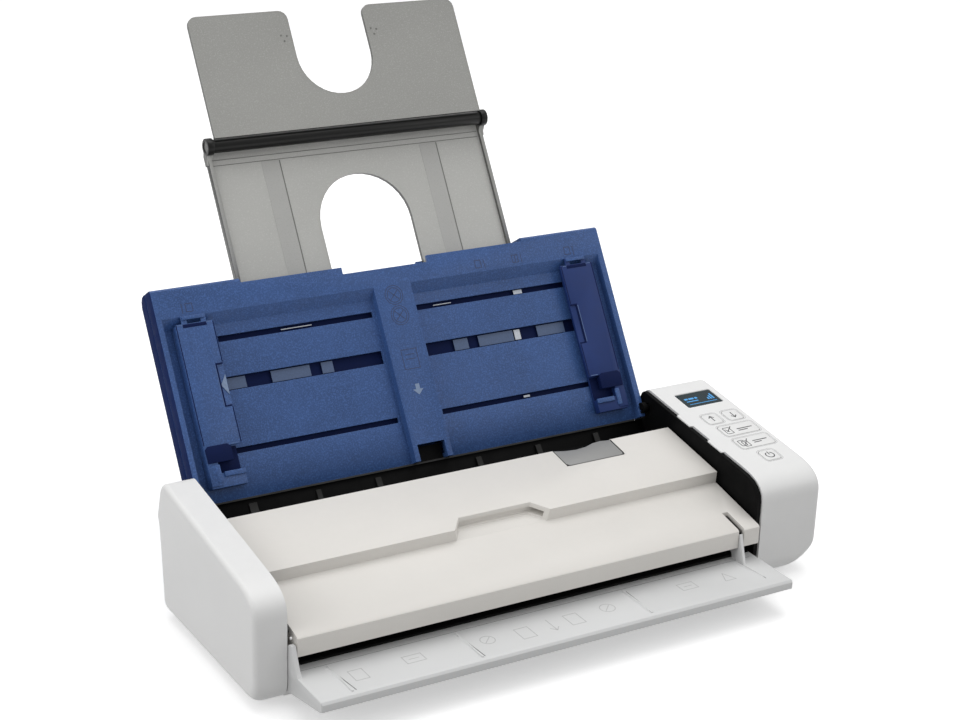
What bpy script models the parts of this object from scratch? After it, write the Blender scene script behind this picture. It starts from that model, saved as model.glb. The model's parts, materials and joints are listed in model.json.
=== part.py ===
"""Portable sheet fed document scanner, modelled as separate pieces.

World frame: +X to the right of a user who faces the paper exit, +Y to the
back, +Z up, origin on the ground under the middle of the bounding box.
Design drawing numbers below are in millimetres, in the drawing frame
(X from the middle of the paper path, Y from the front faces of the end
caps, Z from the ground); the parent empties carry the shift into the world.
"""

import math

import bmesh
import bpy
from mathutils import Vector

for old in list(bpy.data.objects):
    bpy.data.objects.remove(old, do_unlink=True)

# ------------------------------------------------------------ dimensions (mm)
MM = 0.001
SHIFT_X = -12.35  # drawing frame to world frame
SHIFT_Y = -92.007

LEFT_CAP_X = (-121.6, -136.8)  # open side, outer face
RIGHT_CAP_X = (126.2, 161.5)
LEFT_CAP_BOTTOM_R = 6.5
RIGHT_CAP_BOTTOM_R = 15.0
CAP_EDGE_R = 2.0
CAP_WALL = 2.0

COVER_X = (-118.6, 122.5)
COVER_WALL = 2.0
COVER_PIVOT = (6.5, 32.5)  # Y, Z
OUT_PIVOT = (2.0, 23.6)

TRAY_Y, TRAY_Z = 91.9, 53.9  # bottom edge of the input tray's front plane
TRAY_LEAN = 0.5624  # radians back from vertical
TRAY_X = (-121.3, 122.2)
TRAY_H = 100.6  # along the tray
TRAY_MID_H = 98.5
TRAY_T = 14.2
TRAY_PIVOT = (-1.4, 4.1)  # behind the front plane, along the tray
FLOOR_OFF = 4.5  # paper floor of the tray, behind the front plane
FLOOR_T = 1.1

EXT_X = 75.0
EXT_OFF = (9.3, 11.3)
EXT_S = (66.5, 165.2)
BAR_OFF, BAR_S, BAR_R = 4.6, 166.0, 3.3
TOP_OFF = (0.2, 1.9)
TOP_S = (168.6, 229.0)
TOP_X = 72.4
EXT_TRAVEL = 63.5

FEED_AXIS = (67.0, 27.8)
FEED_R = 9.0
EXIT_AXIS = (16.0, 16.3)
EXIT_R = 5.0
MODULE = 0.8
FEED_TEETH, IDLER_TEETH, EXIT_TEETH, MOTOR_TEETH = 36, 36, 24, 10

RACK_MODULE = 0.8
GUIDE_PINION_TEETH = 10
GUIDE_S = 53.0

# ------------------------------------------------------------------ materials
COLOURS = {
    "cap_white": ((0.78, 0.78, 0.78), 0.45, 0.0),
    "cover_cream": ((0.72, 0.70, 0.67), 0.45, 0.0),
    "tray_grey": ((0.70, 0.70, 0.70), 0.45, 0.0),
    "navy": ((0.035, 0.075, 0.20), 0.5, 0.0),
    "black": ((0.012, 0.012, 0.012), 0.5, 0.0),
    "latch_grey": ((0.35, 0.35, 0.34), 0.4, 0.0),
    "smoke": ((0.42, 0.42, 0.40), 0.2, 0.0),
    "rubber": ((0.02, 0.02, 0.02), 0.85, 0.0),
    "steel": ((0.6, 0.6, 0.6), 0.3, 1.0),
    "glass": ((0.1, 0.12, 0.12), 0.05, 0.0),
    "board_green": ((0.02, 0.16, 0.06), 0.5, 0.0),
    "gear_white": ((0.75, 0.74, 0.70), 0.45, 0.0),
    "button_grey": ((0.74, 0.74, 0.74), 0.4, 0.0),
}


def material(name, kind):
    colour, rough, metal = COLOURS[kind]
    mat = bpy.data.materials.new(name)
    mat.use_nodes = True
    bsdf = mat.node_tree.nodes["Principled BSDF"]
    bsdf.inputs["Base Color"].default_value = (*colour, 1.0)
    bsdf.inputs["Roughness"].default_value = rough
    bsdf.inputs["Metallic"].default_value = metal
    return mat


# --------------------------------------------------------------------- frames
def empty(name, location, rotation=(0, 0, 0), parent=None):
    obj = bpy.data.objects.new(name, None)
    bpy.context.scene.collection.objects.link(obj)
    obj.empty_display_size = 0.01
    obj.location = location
    obj.rotation_euler = rotation
    obj.parent = parent
    return obj


WORLD = empty("drawing_frame", (SHIFT_X * MM, SHIFT_Y * MM, 0))
TD = Vector((0, math.sin(TRAY_LEAN), math.cos(TRAY_LEAN)))
TN = Vector((0, math.cos(TRAY_LEAN), -math.sin(TRAY_LEAN)))
_p = Vector((0, TRAY_Y, TRAY_Z)) + TN * TRAY_PIVOT[0] + TD * TRAY_PIVOT[1]
# the tray's own frame: X across, Y behind the front plane, Z up the tray
TRAY = empty("tray_pivot", _p * MM, (-TRAY_LEAN, 0, 0), WORLD)
TRAY_ORIGIN = Vector((0, TRAY_PIVOT[0], TRAY_PIVOT[1]))


def make(name, bm, kind, frame="world", origin=None, smooth=False):
    """Object from a bmesh in drawing millimetres; origin is where its own origin goes."""
    base = Vector((0, 0, 0)) if frame == "world" else TRAY_ORIGIN
    parent = WORLD if frame == "world" else TRAY
    at = Vector(origin) if origin is not None else base
    bmesh.ops.remove_doubles(bm, verts=bm.verts, dist=1e-4)
    bmesh.ops.translate(bm, verts=bm.verts, vec=-at)
    bmesh.ops.scale(bm, verts=bm.verts, vec=(MM, MM, MM))
    bmesh.ops.recalc_face_normals(bm, faces=bm.faces)
    mesh = bpy.data.meshes.new(name)
    bm.to_mesh(mesh)
    bm.free()
    obj = bpy.data.objects.new(name, mesh)
    bpy.context.scene.collection.objects.link(obj)
    obj.parent = parent
    obj.location = (at - base) * MM
    if kind:
        mesh.materials.append(material(name + "_finish", kind))
    if smooth:
        mesh.shade_smooth()
        mesh.set_sharp_from_angle(angle=math.radians(35))
    return obj


def boolean(obj, bm, operation, frame="world"):
    """Cut or join a bmesh (drawing mm) into obj and keep the result as its mesh."""
    tool = make(obj.name + "_tool", bm, None, frame)
    tool.hide_render = True
    tool.display_type = "WIRE"
    mod = obj.modifiers.new(operation.lower(), "BOOLEAN")
    mod.operation = operation
    mod.solver = "EXACT"
    mod.object = tool
    bpy.context.view_layer.update()
    graph = bpy.context.evaluated_depsgraph_get()
    mesh = bpy.data.meshes.new_from_object(obj.evaluated_get(graph))
    obj.modifiers.clear()
    old = obj.data
    obj.data = mesh
    bpy.data.meshes.remove(old)
    bpy.data.objects.remove(tool, do_unlink=True)


def cut(obj, bm, frame="world"):
    boolean(obj, bm, "DIFFERENCE", frame)


def join(obj, bm, frame="world"):
    boolean(obj, bm, "UNION", frame)


# --------------------------------------------------------------------- shapes
def prism(points, a, b, axis="x", bm=None):
    """Prism over a closed outline; axis x takes (y, z) points, y takes (x, z), z takes (x, y)."""
    bm = bm or bmesh.new()
    place = {
        "x": lambda p, t: (t, p[0], p[1]),
        "y": lambda p, t: (p[0], t, p[1]),
        "z": lambda p, t: (p[0], p[1], t),
    }[axis]
    low = [bm.verts.new(place(p, a)) for p in points]
    high = [bm.verts.new(place(p, b)) for p in points]
    bm.faces.new(low)
    bm.faces.new(high)
    n = len(points)
    for i in range(n):
        j = (i + 1) % n
        bm.faces.new((low[i], low[j], high[j], high[i]))
    return bm


def box(x0, x1, y0, y1, z0, z1, bm=None):
    return prism([(y0, z0), (y1, z0), (y1, z1), (y0, z1)], x0, x1, "x", bm)


def circle(cy, cz, r, n, phase=0.0):
    return [
        (
            cy + r * math.cos(phase + 2 * math.pi * i / n),
            cz + r * math.sin(phase + 2 * math.pi * i / n),
        )
        for i in range(n)
    ]


def disc(cy, cz, r, a, b, n=24, axis="x", bm=None):
    return prism(circle(cy, cz, r, n), a, b, axis, bm)


def ring(cy, cz, r_out, r_in, a, b, n=24, axis="x", outline=None):
    """Tube or bored gear: an outer outline and a round hole, as one closed body."""
    bm = bmesh.new()
    outer = outline or circle(cy, cz, r_out, n)
    m = len(outer)
    inner = []
    for p in outer:
        t = math.atan2(p[1] - cz, p[0] - cy)
        inner.append((cy + r_in * math.cos(t), cz + r_in * math.sin(t)))
    place = {
        "x": lambda p, t: (t, p[0], p[1]),
        "y": lambda p, t: (p[0], t, p[1]),
        "z": lambda p, t: (p[0], p[1], t),
    }[axis]
    loops = [
        [bm.verts.new(place(p, t)) for p in pts]
        for pts, t in ((outer, a), (outer, b), (inner, b), (inner, a))
    ]
    for k in range(4):
        one, two = loops[k], loops[(k + 1) % 4]
        for i in range(m):
            j = (i + 1) % m
            bm.faces.new((one[i], one[j], two[j], two[i]))
    return bm


def gear_outline(cy, cz, teeth, module, phase):
    """Trapezoid teeth with backlash; phase is the angle of the middle of one tooth."""
    r = teeth * module / 2
    step = 2 * math.pi / teeth
    tip, root = r + 0.72 * module, r - 1.0 * module
    pts = []
    for i in range(teeth):
        t = phase + i * step
        for radius, part in ((root, -0.33), (tip, -0.10), (tip, 0.10), (root, 0.33)):
            a = t + part * step
            pts.append((cy + radius * math.cos(a), cz + radius * math.sin(a)))
    return pts


def arc(cy, cz, r, a0, a1, n):
    return [
        (
            cy + r * math.cos(math.radians(a0 + (a1 - a0) * i / n)),
            cz + r * math.sin(math.radians(a0 + (a1 - a0) * i / n)),
        )
        for i in range(n + 1)
    ]


def offset(points, d):
    """Outline moved inwards by d (a number or one per point), for an outline turning left."""
    n = len(points)
    ds = d if isinstance(d, (list, tuple)) else [d] * n
    out = []
    for i in range(n):
        a, b, c = (Vector(points[(i + k) % n]) for k in (-1, 0, 1))
        e1, e2 = (b - a).normalized(), (c - b).normalized()
        n1, n2 = Vector((-e1.y, e1.x)), Vector((-e2.y, e2.x))
        m = (n1 + n2).normalized()
        out.append(tuple(b + m * ds[i] / max(m.dot(n1), 0.5)))
    return out


# ----------------------------------------------------------- end cap side view
def cap_profile():
    """Side view of an end cap, from the bottom front corner, turning left."""
    pts = []
    pts += [(98.4, 3.2), (101.0, 30.0), (102.6, 44.4), (104.2, 47.2), (103.9, 50.0)]
    pts += [(100.4, 62.0), (99.2, 64.6), (97.3, 66.0), (94.6, 65.9)]
    pts += [(16.7, 54.6), (10.9, 53.6), (6.4, 52.1), (2.9, 49.6), (0.7, 46.4)]
    pts += [(0.0, 42.5), (0.0, 10.5), (1.3, 6.0), (4.3, 2.9), (8.6, 1.6), (96.6, 1.6)]
    return pts


PROFILE = cap_profile()


def cap_solid(x_in, x_out, r_bottom, inset=0.0, stop=0.0):
    """Loft of the side view from the inner plane to the rounded outer face."""
    sign = 1 if x_out > x_in else -1
    base = offset(PROFILE, inset) if inset else PROFILE
    depth = abs(x_out - x_in)
    rb = max(r_bottom - inset, 1.0)
    re = max(CAP_EDGE_R - inset, 0.5)
    low = {0, 17, 18, 19}
    marks = sorted(
        {0.0, re * 0.13, re * 0.5, re}
        | {rb * (1 - math.cos(math.radians(a))) for a in (25, 42, 58, 74, 90)}
    )
    stations = [depth - stop - t for t in marks]
    stations.append(0.0)
    bm = bmesh.new()
    loops = []
    for x, t in zip(stations, marks + [depth], strict=True):
        ds = []
        for i in range(len(base)):
            r = rb if i in low else re
            ds.append(r - math.sqrt(max(r * r - (r - t) ** 2, 0.0)) if t < r else 0.0)
        if any(ds):
            outline = []
            for i, (p, d) in enumerate(zip(base, ds, strict=True)):
                if i in low:
                    # the bottom run rises, it doesn't shorten
                    lift = d
                    inward = min(d, re)
                    y = p[0] + (inward if p[0] < 50 else -inward)
                    outline.append((y, p[1] + lift))
                else:
                    outline.append(None)
            inner = offset(base, [min(d, re) for d in ds])
            outline = [o if o else inner[i] for i, o in enumerate(outline)]
            # the front wall's lower points never drop under the risen bottom
            floor = outline[19][1]
            pts = []
            for i, p in enumerate(outline):
                z = p[1]
                if i in (15, 16):
                    z = max(z, floor + (2.2 if i == 15 else 0.9))
                if i == 17:
                    z = max(p[1], floor + 0.3)
                if i == 1:
                    z = max(z, floor + 3.0)
                pts.append((p[0], z))
            outline = pts
        else:
            outline = base
        loops.append([bm.verts.new((x_in + sign * x, p[0], p[1])) for p in outline])
    for one, two in zip(loops, loops[1:], strict=False):
        n = len(one)
        for i in range(n):
            j = (i + 1) % n
            bm.faces.new((one[i], one[j], two[j], two[i]))
    bm.faces.new(loops[0])
    bm.faces.new(loops[-1])
    return bm


def make_cap(name, x_in, x_out, r_bottom):
    cap = make(name, cap_solid(x_in, x_out, r_bottom), "cap_white")
    sign = 1 if x_out > x_in else -1
    hollow = cap_solid(x_in - sign * 4, x_out - sign * CAP_WALL, r_bottom, CAP_WALL)
    cut(cap, hollow)
    return cap


left_cap = make_cap("left_end_cap", *LEFT_CAP_X, LEFT_CAP_BOTTOM_R)
right_cap = make_cap("right_end_cap", *RIGHT_CAP_X, RIGHT_CAP_BOTTOM_R)

# stub that the output tray's left arm turns on, with its boss behind the front wall
join(left_cap, disc(OUT_PIVOT[0] + 1.3, OUT_PIVOT[1], 2.9, -127.5, -121.9, 16))
join(left_cap, disc(*OUT_PIVOT, 1.3, -123.0, -119.7, 12))

# ------------------------------------------------ control panel on the right cap
SLOPE = math.atan2(65.9 - 54.6, 94.6 - 16.7)


def on_slope(y, depth=0.0):
    """Point of the panel's sloping top at drawing Y, depth mm under the surface."""
    return (
        y + depth * math.sin(SLOPE),
        54.6 + (y - 16.7) * math.tan(SLOPE) - depth * math.cos(SLOPE),
    )


def slope_prism(x0, x1, y0, y1, top, bottom, corner=0.0, bm=None):
    """Block sunk into the panel: rounded rectangle in X and Y, between two depths."""
    if corner:
        pts = []
        for cx, cy, a in (
            (x1 - corner, y1 - corner, 0),
            (x0 + corner, y1 - corner, 90),
            (x0 + corner, y0 + corner, 180),
            (x1 - corner, y0 + corner, 270),
        ):
            pts += arc(cx, cy, corner, a, a + 90, 4)
    else:
        pts = [(x0, y0), (x1, y0), (x1, y1), (x0, y1)]
    bm = bm or bmesh.new()
    loops = []
    for depth in (top, bottom):
        loops.append(
            [bm.verts.new((p[0], *on_slope(p[1], depth))) for p in pts]
        )
    bm.faces.new(loops[0])
    bm.faces.new(loops[1])
    n = len(pts)
    for i in range(n):
        j = (i + 1) % n
        bm.faces.new((loops[0][i], loops[0][j], loops[1][j], loops[1][i]))
    return bm


LCD = (135.0, 156.6, 73.2, 86.2)
BUTTONS = {
    "up_button": (134.9, 144.2, 55.2, 64.6),
    "down_button": (147.5, 156.8, 55.2, 64.6),
    "single_side_button": (136.2, 157.2, 42.6, 52.4),
    "double_side_button": (136.2, 157.2, 30.0, 39.9),
    "power_button": (141.2, 150.6, 16.9, 26.0),
}
cut(right_cap, slope_prism(*LCD, -3, 5, 0.8))
for area in BUTTONS.values():
    cut(right_cap, slope_prism(*area, -3, 5, 1.6))

make("display_window", slope_prism(LCD[0] + 0.3, LCD[1] - 0.3, LCD[2] + 0.3, LCD[3] - 0.3, 0.25, 1.4, 0.6), "glass")
make("display_module", slope_prism(LCD[0] - 1.2, LCD[1] + 1.2, LCD[2] - 1.6, LCD[3] + 1.6, 2.4, 5.0), "black")
for name, (x0, x1, y0, y1) in BUTTONS.items():
    mid = ((x0 + x1) / 2, *on_slope((y0 + y1) / 2))
    bm = slope_prism(x0 + 0.3, x1 - 0.3, y0 + 0.3, y1 - 0.3, -0.1, 3.2, 1.4)
    make(name, bm, "button_grey", origin=mid)
make("panel_circuit_board", slope_prism(133.4, 157.6, 14.0, 88.0, 5.4, 6.8), "board_green")

# ------------------------------------------------------------------ side frames
right_frame_outline = offset(PROFILE, 0.9)
right_frame = make("right_side_frame", prism(right_frame_outline, 123.7, 125.9), "black")
left_frame = make("left_side_frame", prism(offset(PROFILE, 2.5), -123.6, -121.75), "black")
cut(left_frame, disc(OUT_PIVOT[0] + 1.3, OUT_PIVOT[1], 3.4, -126, -120, 16))
pivot_world = Vector((0, TRAY_Y, TRAY_Z)) + TN * TRAY_PIVOT[0] + TD * TRAY_PIVOT[1]
PIVOT = (pivot_world.y, pivot_world.z)
for frame, x in ((left_frame, (-126, -120)), (right_frame, (121, 128))):
    cut(frame, disc(*PIVOT, 2.0, *x, 16))
    cut(frame, disc(*COVER_PIVOT, 1.9, *x, 16))
cut(right_frame, disc(*FEED_AXIS, 3.0, 121, 128, 16))
cut(right_frame, disc(*EXIT_AXIS, 2.5, 121, 128, 16))

# ------------------------------------------------------------------------- base
BED_TOP = [(98.0, 49.4), (96.3, 50.4), (92.4, 44.4), (88.5, 42.8), (84.0, 41.2), (74.0, 37.9), (60.0, 34.5), (22.0, 22.6), (6.0, 17.0), (4.6, 16.4)]


def bed_z(y):
    pts = sorted(BED_TOP)
    for (ya, za), (yb, zb) in zip(pts, pts[1:], strict=False):
        if ya <= y <= yb:
            return za + (zb - za) * (y - ya) / (yb - ya)
    return pts[0][1]


under = [(4.6, 14.4)] + [(y + 0.5, z - 2.0) for y, z in reversed(BED_TOP[3:-1])]
under += [(94.2, 42.7), (98.0, 48.0)]
bed = make("lower_paper_guide", prism(BED_TOP + under, -121.2, 123.3), "black")
BED_TILT = math.atan2(34.5 - 22.6, 60.0 - 22.0)


def tilted(cy, cz, pts):
    """Outline given along and above the paper path, placed at a point of the bed."""
    c, s = math.cos(BED_TILT), math.sin(BED_TILT)
    return [(cy + u * c - v * s, cz + u * s + v * c) for u, v in pts]


LOWER_EYE = (45.0, bed_z(45.0))
UPPER_EYE = (43.0, bed_z(43.0))
cut(bed, prism(tilted(*LOWER_EYE, [(-5.6, -6), (5.6, -6), (5.6, 4), (-5.6, 4)]), -109.5, 109.5))
cut(bed, box(-16.5, 16.5, 58.2, 75.4, 20, 46))
for x0 in (-63.5, 46.5):
    cut(bed, box(x0, x0 + 17, 10.2, 21.8, 8, 26))
join(bed, prism([(4.7, 15.5), (6.5, 16.0), (5.6, 22.6), (4.4, 25.4), (2.0, 25.9), (-0.3, 24.6), (-0.4, 22.8), (3.2, 19.0)], 112.5, 113.35))
join(bed, disc(*OUT_PIVOT, 1.0, 111.0, 112.9, 10))

make("bottom_pan", prism([(4.6, 2.2), (96.3, 2.2), (96.3, 12.5), (94.4, 12.5), (94.4, 4.4), (6.6, 4.4), (6.6, 13.6), (4.6, 13.6)], -121.2, 123.3), "cap_white")
rear = make("rear_panel", prism([(96.7, 2.4), (98.4, 2.4), (101.4, 30.0), (102.3, 43.6), (96.6, 44.1), (96.6, 42.4), (99.9, 41.9), (98.8, 29.8), (96.7, 13.0)], -121.2, 123.3), "cap_white")
cut(rear, box(60.4, 72.6, 90, 110, 15.6, 22.4))
cut(rear, disc(84.0, 19.0, 5.1, 90, 110, 20, "y"))
usb = make("usb_port", box(60.7, 72.3, 88.0, 98.9, 15.9, 22.1), "steel")
cut(usb, box(61.6, 71.4, 91.0, 100, 16.8, 21.2))
jack = make("dc_power_jack", prism(circle(84.0, 19.0, 4.8, 20), 86.5, 98.9, "y"), "black")
cut(jack, prism(circle(84.0, 19.0, 3.2, 20), 90.0, 100.0, "y"))

for name, x, y in (
    ("rubber_foot_front_left", -104, 20),
    ("rubber_foot_front_right", 106, 20),
    ("rubber_foot_rear_left", -104, 82),
    ("rubber_foot_rear_right", 106, 82),
):
    bm = bmesh.new()
    lo = [bm.verts.new((x + p[0], y + p[1], 0.0)) for p in circle(0, 0, 5.4, 20)]
    mid = [bm.verts.new((x + p[0], y + p[1], 0.6)) for p in circle(0, 0, 6.0, 20)]
    hi = [bm.verts.new((x + p[0], y + p[1], 1.9)) for p in circle(0, 0, 6.0, 20)]
    bm.faces.new(lo)
    bm.faces.new(hi)
    for one, two in ((lo, mid), (mid, hi)):
        for i in range(20):
            j = (i + 1) % 20
            bm.faces.new((one[i], one[j], two[j], two[i]))
    make(name, bm, "rubber", smooth=True)

# image sensors: a bar under the bed and one over it, each with its glass
make("lower_image_sensor", prism(tilted(*LOWER_EYE, [(-7, -14), (7, -14), (7, -2.6), (5.2, -2.6), (5.2, -1.5), (-5.2, -1.5), (-5.2, -2.6), (-7, -2.6)]), -109, 109), "black")
make("lower_sensor_glass", prism(tilted(*LOWER_EYE, [(-5.2, -1.2), (5.2, -1.2), (5.2, 0.0), (-5.2, 0.0)]), -109, 109), "glass")
board = make("main_circuit_board", box(-60, 100, 52, 92, 8.0, 9.6), "board_green")
for x, y, w_, d_, h_ in ((-20, 70, 14, 14, 2.0), (25, 66, 18, 12, 2.4), (60, 80, 10, 8, 6.0), (85, 62, 8, 16, 5.0), (-48, 84, 9, 9, 8.0)):
    join(board, box(x - w_ / 2, x + w_ / 2, y - d_ / 2, y + d_ / 2, 9.0, 9.6 + h_))

# --------------------------------------------------------- rollers and gear train
make("feed_roller_shaft", disc(*FEED_AXIS, 2.5, -20.0, 131.8, 16), "steel", origin=(0, *FEED_AXIS), smooth=True)
make("feed_roller", ring(*FEED_AXIS, FEED_R, 2.8, -14.5, 14.5, 36), "rubber", origin=(0, *FEED_AXIS), smooth=True)
make("exit_roller_shaft", disc(*EXIT_AXIS, 1.5, -117.0, 131.8, 14), "steel", origin=(0, *EXIT_AXIS), smooth=True)
make("exit_roller_left", ring(*EXIT_AXIS, EXIT_R, 1.8, -62.0, -48.0, 28), "rubber", origin=(0, *EXIT_AXIS), smooth=True)
make("exit_roller_right", ring(*EXIT_AXIS, EXIT_R, 1.8, 48.0, 62.0, 28), "rubber", origin=(0, *EXIT_AXIS), smooth=True)

r_feed = FEED_TEETH * MODULE / 2
r_idler = IDLER_TEETH * MODULE / 2
r_exit = EXIT_TEETH * MODULE / 2
r_motor = MOTOR_TEETH * MODULE / 2
F, E = Vector(FEED_AXIS), Vector(EXIT_AXIS)
d = (F - E).length
a_ = ((r_exit + r_idler) ** 2 - (r_feed + r_idler) ** 2 + d * d) / (2 * d)
h_ = math.sqrt(max((r_exit + r_idler) ** 2 - a_ * a_, 0.0))
u_ = (F - E) / d
IDLER = E + u_ * a_ + Vector((-u_.y, u_.x)) * h_
IDLER_AXIS = (IDLER.x, IDLER.y)
toward_motor = math.radians(160.0)
M = IDLER + Vector((math.cos(toward_motor), math.sin(toward_motor))) * (r_idler + r_motor)
MOTOR_AXIS = (M.x, M.y)


def angle(a, b):
    return math.atan2(b.y - a.y, b.x - a.x)


def mesh_phase(own, other, own_teeth, other_phase, other_teeth):
    """Tooth phase of a gear at own that meshes with one at other."""
    to_own = angle(other, own)
    step = 2 * math.pi / other_teeth
    k = ((to_own - other_phase) / step) % 1.0  # where the other's tooth pattern is
    own_step = 2 * math.pi / own_teeth
    return to_own + math.pi + (k + 0.5) * own_step


phase_i = 0.0
phase_f = mesh_phase(F, IDLER, FEED_TEETH, phase_i, IDLER_TEETH)
phase_e = mesh_phase(E, IDLER, EXIT_TEETH, phase_i, IDLER_TEETH)
phase_m = mesh_phase(M, IDLER, MOTOR_TEETH, phase_i, IDLER_TEETH)
for name, axis, teeth, phase, bore in (
    ("feed_gear", FEED_AXIS, FEED_TEETH, phase_f, 2.8),
    ("idler_gear", IDLER_AXIS, IDLER_TEETH, phase_i, 2.3),
    ("exit_gear", EXIT_AXIS, EXIT_TEETH, phase_e, 1.8),
    ("motor_pinion", MOTOR_AXIS, MOTOR_TEETH, phase_m, 1.3),
):
    outline = gear_outline(*axis, teeth, MODULE, phase)
    make(name, ring(*axis, 0, bore, 128.0, 131.4, outline=outline), "gear_white", origin=(0, *axis))
make("idler_pin", disc(*IDLER_AXIS, 2.0, 126.2, 132.2, 14), "steel", smooth=True)
motor = make("drive_motor", disc(*MOTOR_AXIS, 9.5, 133.5, 154.0, 28), "steel", smooth=True)
join(motor, disc(*MOTOR_AXIS, 3.2, 132.4, 134.5, 16))
join(motor, disc(*MOTOR_AXIS, 1.0, 127.6, 133.0, 12))

# ---------------------------------------------------------------------- the cover
COVER_OUT = [(-3.5, 24.0), (10.0, 25.2), (22.0, 27.6), (60.0, 40.0), (70.0, 46.0), (74.0, 50.3), (74.2, 53.6), (73.0, 54.6), (31.5, 46.9), (32.0, 41.2), (-2.6, 33.2), (-3.5, 32.4)]
COVER_IN = [(-1.5, 20.0), (76.0, 20.0), (72.2, 48.0), (72.2, 52.3), (33.6, 45.2), (34.1, 39.6), (-1.5, 31.3)]
cover = make("top_cover", prism(COVER_OUT, *COVER_X), "cover_cream")
cut(cover, prism(COVER_IN, COVER_X[0] + COVER_WALL - 0.2, COVER_X[1] - COVER_WALL + 0.2))
# thumb notch in the step: the upper deck is set back in the middle
bm = bmesh.new()
low = [bm.verts.new((x, y, 36.0)) for x, y in ((-23.0, 30.0), (-16.0, 38.6), (19.0, 38.6), (26.0, 30.0))]
high = [bm.verts.new((x, y, 52.0)) for x, y in ((-26.0, 30.0), (-18.0, 39.8), (21.0, 39.8), (29.0, 30.0))]
bm.faces.new(low)
bm.faces.new(high)
for i in range(4):
    j = (i + 1) % 4
    bm.faces.new((low[i], low[j], high[j], high[i]))
notch_floor = [(28.0, 40.3 + 0.0), (44.0, 44.0), (44.0, 60.0), (28.0, 60.0)]
pocket = make("pocket", bm, None)
floor_cut = make("floor_cut", prism(notch_floor, -40, 40), None)
mod = pocket.modifiers.new("limit", "BOOLEAN")
mod.operation = "INTERSECT"
mod.solver = "EXACT"
mod.object = floor_cut
bpy.context.view_layer.update()
pocket_mesh = bpy.data.meshes.new_from_object(pocket.evaluated_get(bpy.context.evaluated_depsgraph_get()))
for o in (pocket, floor_cut):
    bpy.data.objects.remove(o, do_unlink=True)
bm = bmesh.new()
bm.from_mesh(pocket_mesh)
bmesh.ops.scale(bm, verts=bm.verts, vec=(1 / MM,) * 3)
# skin behind the pocket, so that the deck stays closed there
join(cover, prism([(32.4, 39.8), (45.0, 42.7), (45.0, 47.6), (40.5, 46.9), (40.5, 43.8), (32.4, 42.2)], -31.0, 34.0))
cut(cover, bm)
cut(cover, box(110.4, 113.65, -8, 10.4, 20, 45))  # slot for the output tray's fin
LATCH_X = (54.4, 87.2)
cut(cover, prism([(59.3, 44.0), (80.0, 44.0), (80.0, 60.0), (59.3, 60.0)], LATCH_X[0] - 0.35, LATCH_X[1] + 0.35))
for x in ((-120, -116), (120, 124)):
    cut(cover, disc(*COVER_PIVOT, 1.8, *x, 14))

CI_LOW = [(71.6, 50.0), (70.4, 43.2), (66.0, 39.9), (60.0, 36.7), (22.0, 24.8), (10.0, 23.4), (8.6, 23.3)]
CI_TOP = [(8.6, 25.0), (10.0, 25.2), (21.5, 26.7), (59.3, 38.6), (65.0, 41.5), (68.8, 44.4), (69.8, 50.0)]
inner = make("cover_inner_guide", prism(CI_LOW + CI_TOP, -116.2, 120.1), "black")
cut(inner, prism(tilted(*UPPER_EYE, [(-5.6, -3), (5.6, -3), (5.6, 8), (-5.6, 8)]), -109.5, 109.5))
cut(inner, box(-11.5, 11.5, 58.0, 75.0, 30, 52))
for x0 in (-63.5, 46.5):
    cut(inner, box(x0, x0 + 17, 10.8, 21.2, 18, 32))
cut(inner, box(110.3, 113.75, 0, 10.8, 18, 32))
cut(inner, box(65.5, 76.5, 64.0, 75.0, 43.0, 53.0))  # way for the latch's hook
make("upper_image_sensor", prism(tilted(*UPPER_EYE, [(-7, 4.4), (-5.2, 4.4), (-5.2, 3.0), (5.2, 3.0), (5.2, 4.4), (7, 4.4), (7, 10.5), (-7, 10.5)]), -109, 109), "black")
make("upper_sensor_glass", prism(tilted(*UPPER_EYE, [(-5.2, 1.5), (5.2, 1.5), (5.2, 2.7), (-5.2, 2.7)]), -109, 109), "glass")
SEP_AXIS = (64.6, 43.6)
make("separation_roller", disc(*SEP_AXIS, 5.4, -9.5, 9.5, 28), "rubber", origin=(0, *SEP_AXIS), smooth=True)
PINCH_AXIS = (16.0, 25.9)
for name, x0 in (("pinch_roller_left", -61.0), ("pinch_roller_right", 49.0)):
    make(name, disc(*PINCH_AXIS, 3.6, x0, x0 + 12, 20), "gear_white", origin=(0, *PINCH_AXIS), smooth=True)
make("cover_pin_left", disc(*COVER_PIVOT, 1.45, -123.2, -117.2, 14), "steel", smooth=True)
make("cover_pin_right", disc(*COVER_PIVOT, 1.45, 121.1, 125.6, 14), "steel", smooth=True)

# release latch, let into the back edge of the cover's right half
LATCH_AXIS = (60.6, 51.3)


def deck(y, depth=0.0):
    """Point on the cover's upper deck."""
    t = math.atan2(54.6 - 46.9, 73.0 - 31.5)
    return (y + depth * math.sin(t), 46.9 + (y - 31.5) * math.tan(t) - depth * math.cos(t))


plate = [deck(59.7, 0.0), deck(73.4, 0.0), deck(73.4, 1.7), deck(70.5, 1.9), (70.6, 46.8), (72.2, 45.0), (68.6, 45.6), deck(68.3, 1.9), deck(61.5, 1.9), deck(59.7, 1.7)]
bm = bmesh.new()
outline = [(54.5, 61.5), (55.8, 59.7), (86.0, 59.7), (87.1, 61.0), (87.1, 72.6), (82.0, 73.4), (77.0, 72.9), (72.0, 71.2), (66.0, 70.6), (60.0, 71.3), (54.5, 72.8)]
latch = make("release_latch", prism(plate, 66.0, 76.0), "latch_grey", origin=(0, *LATCH_AXIS))
bm = bmesh.new()
top = [bm.verts.new((p[0], *deck(p[1], 0.0))) for p in outline]
bot = [bm.verts.new((p[0], *deck(p[1], 1.7))) for p in outline]
bm.faces.new(top)
bm.faces.new(bot)
for i in range(len(outline)):
    j = (i + 1) % len(outline)
    bm.faces.new((top[i], top[j], bot[j], bot[i]))
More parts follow.
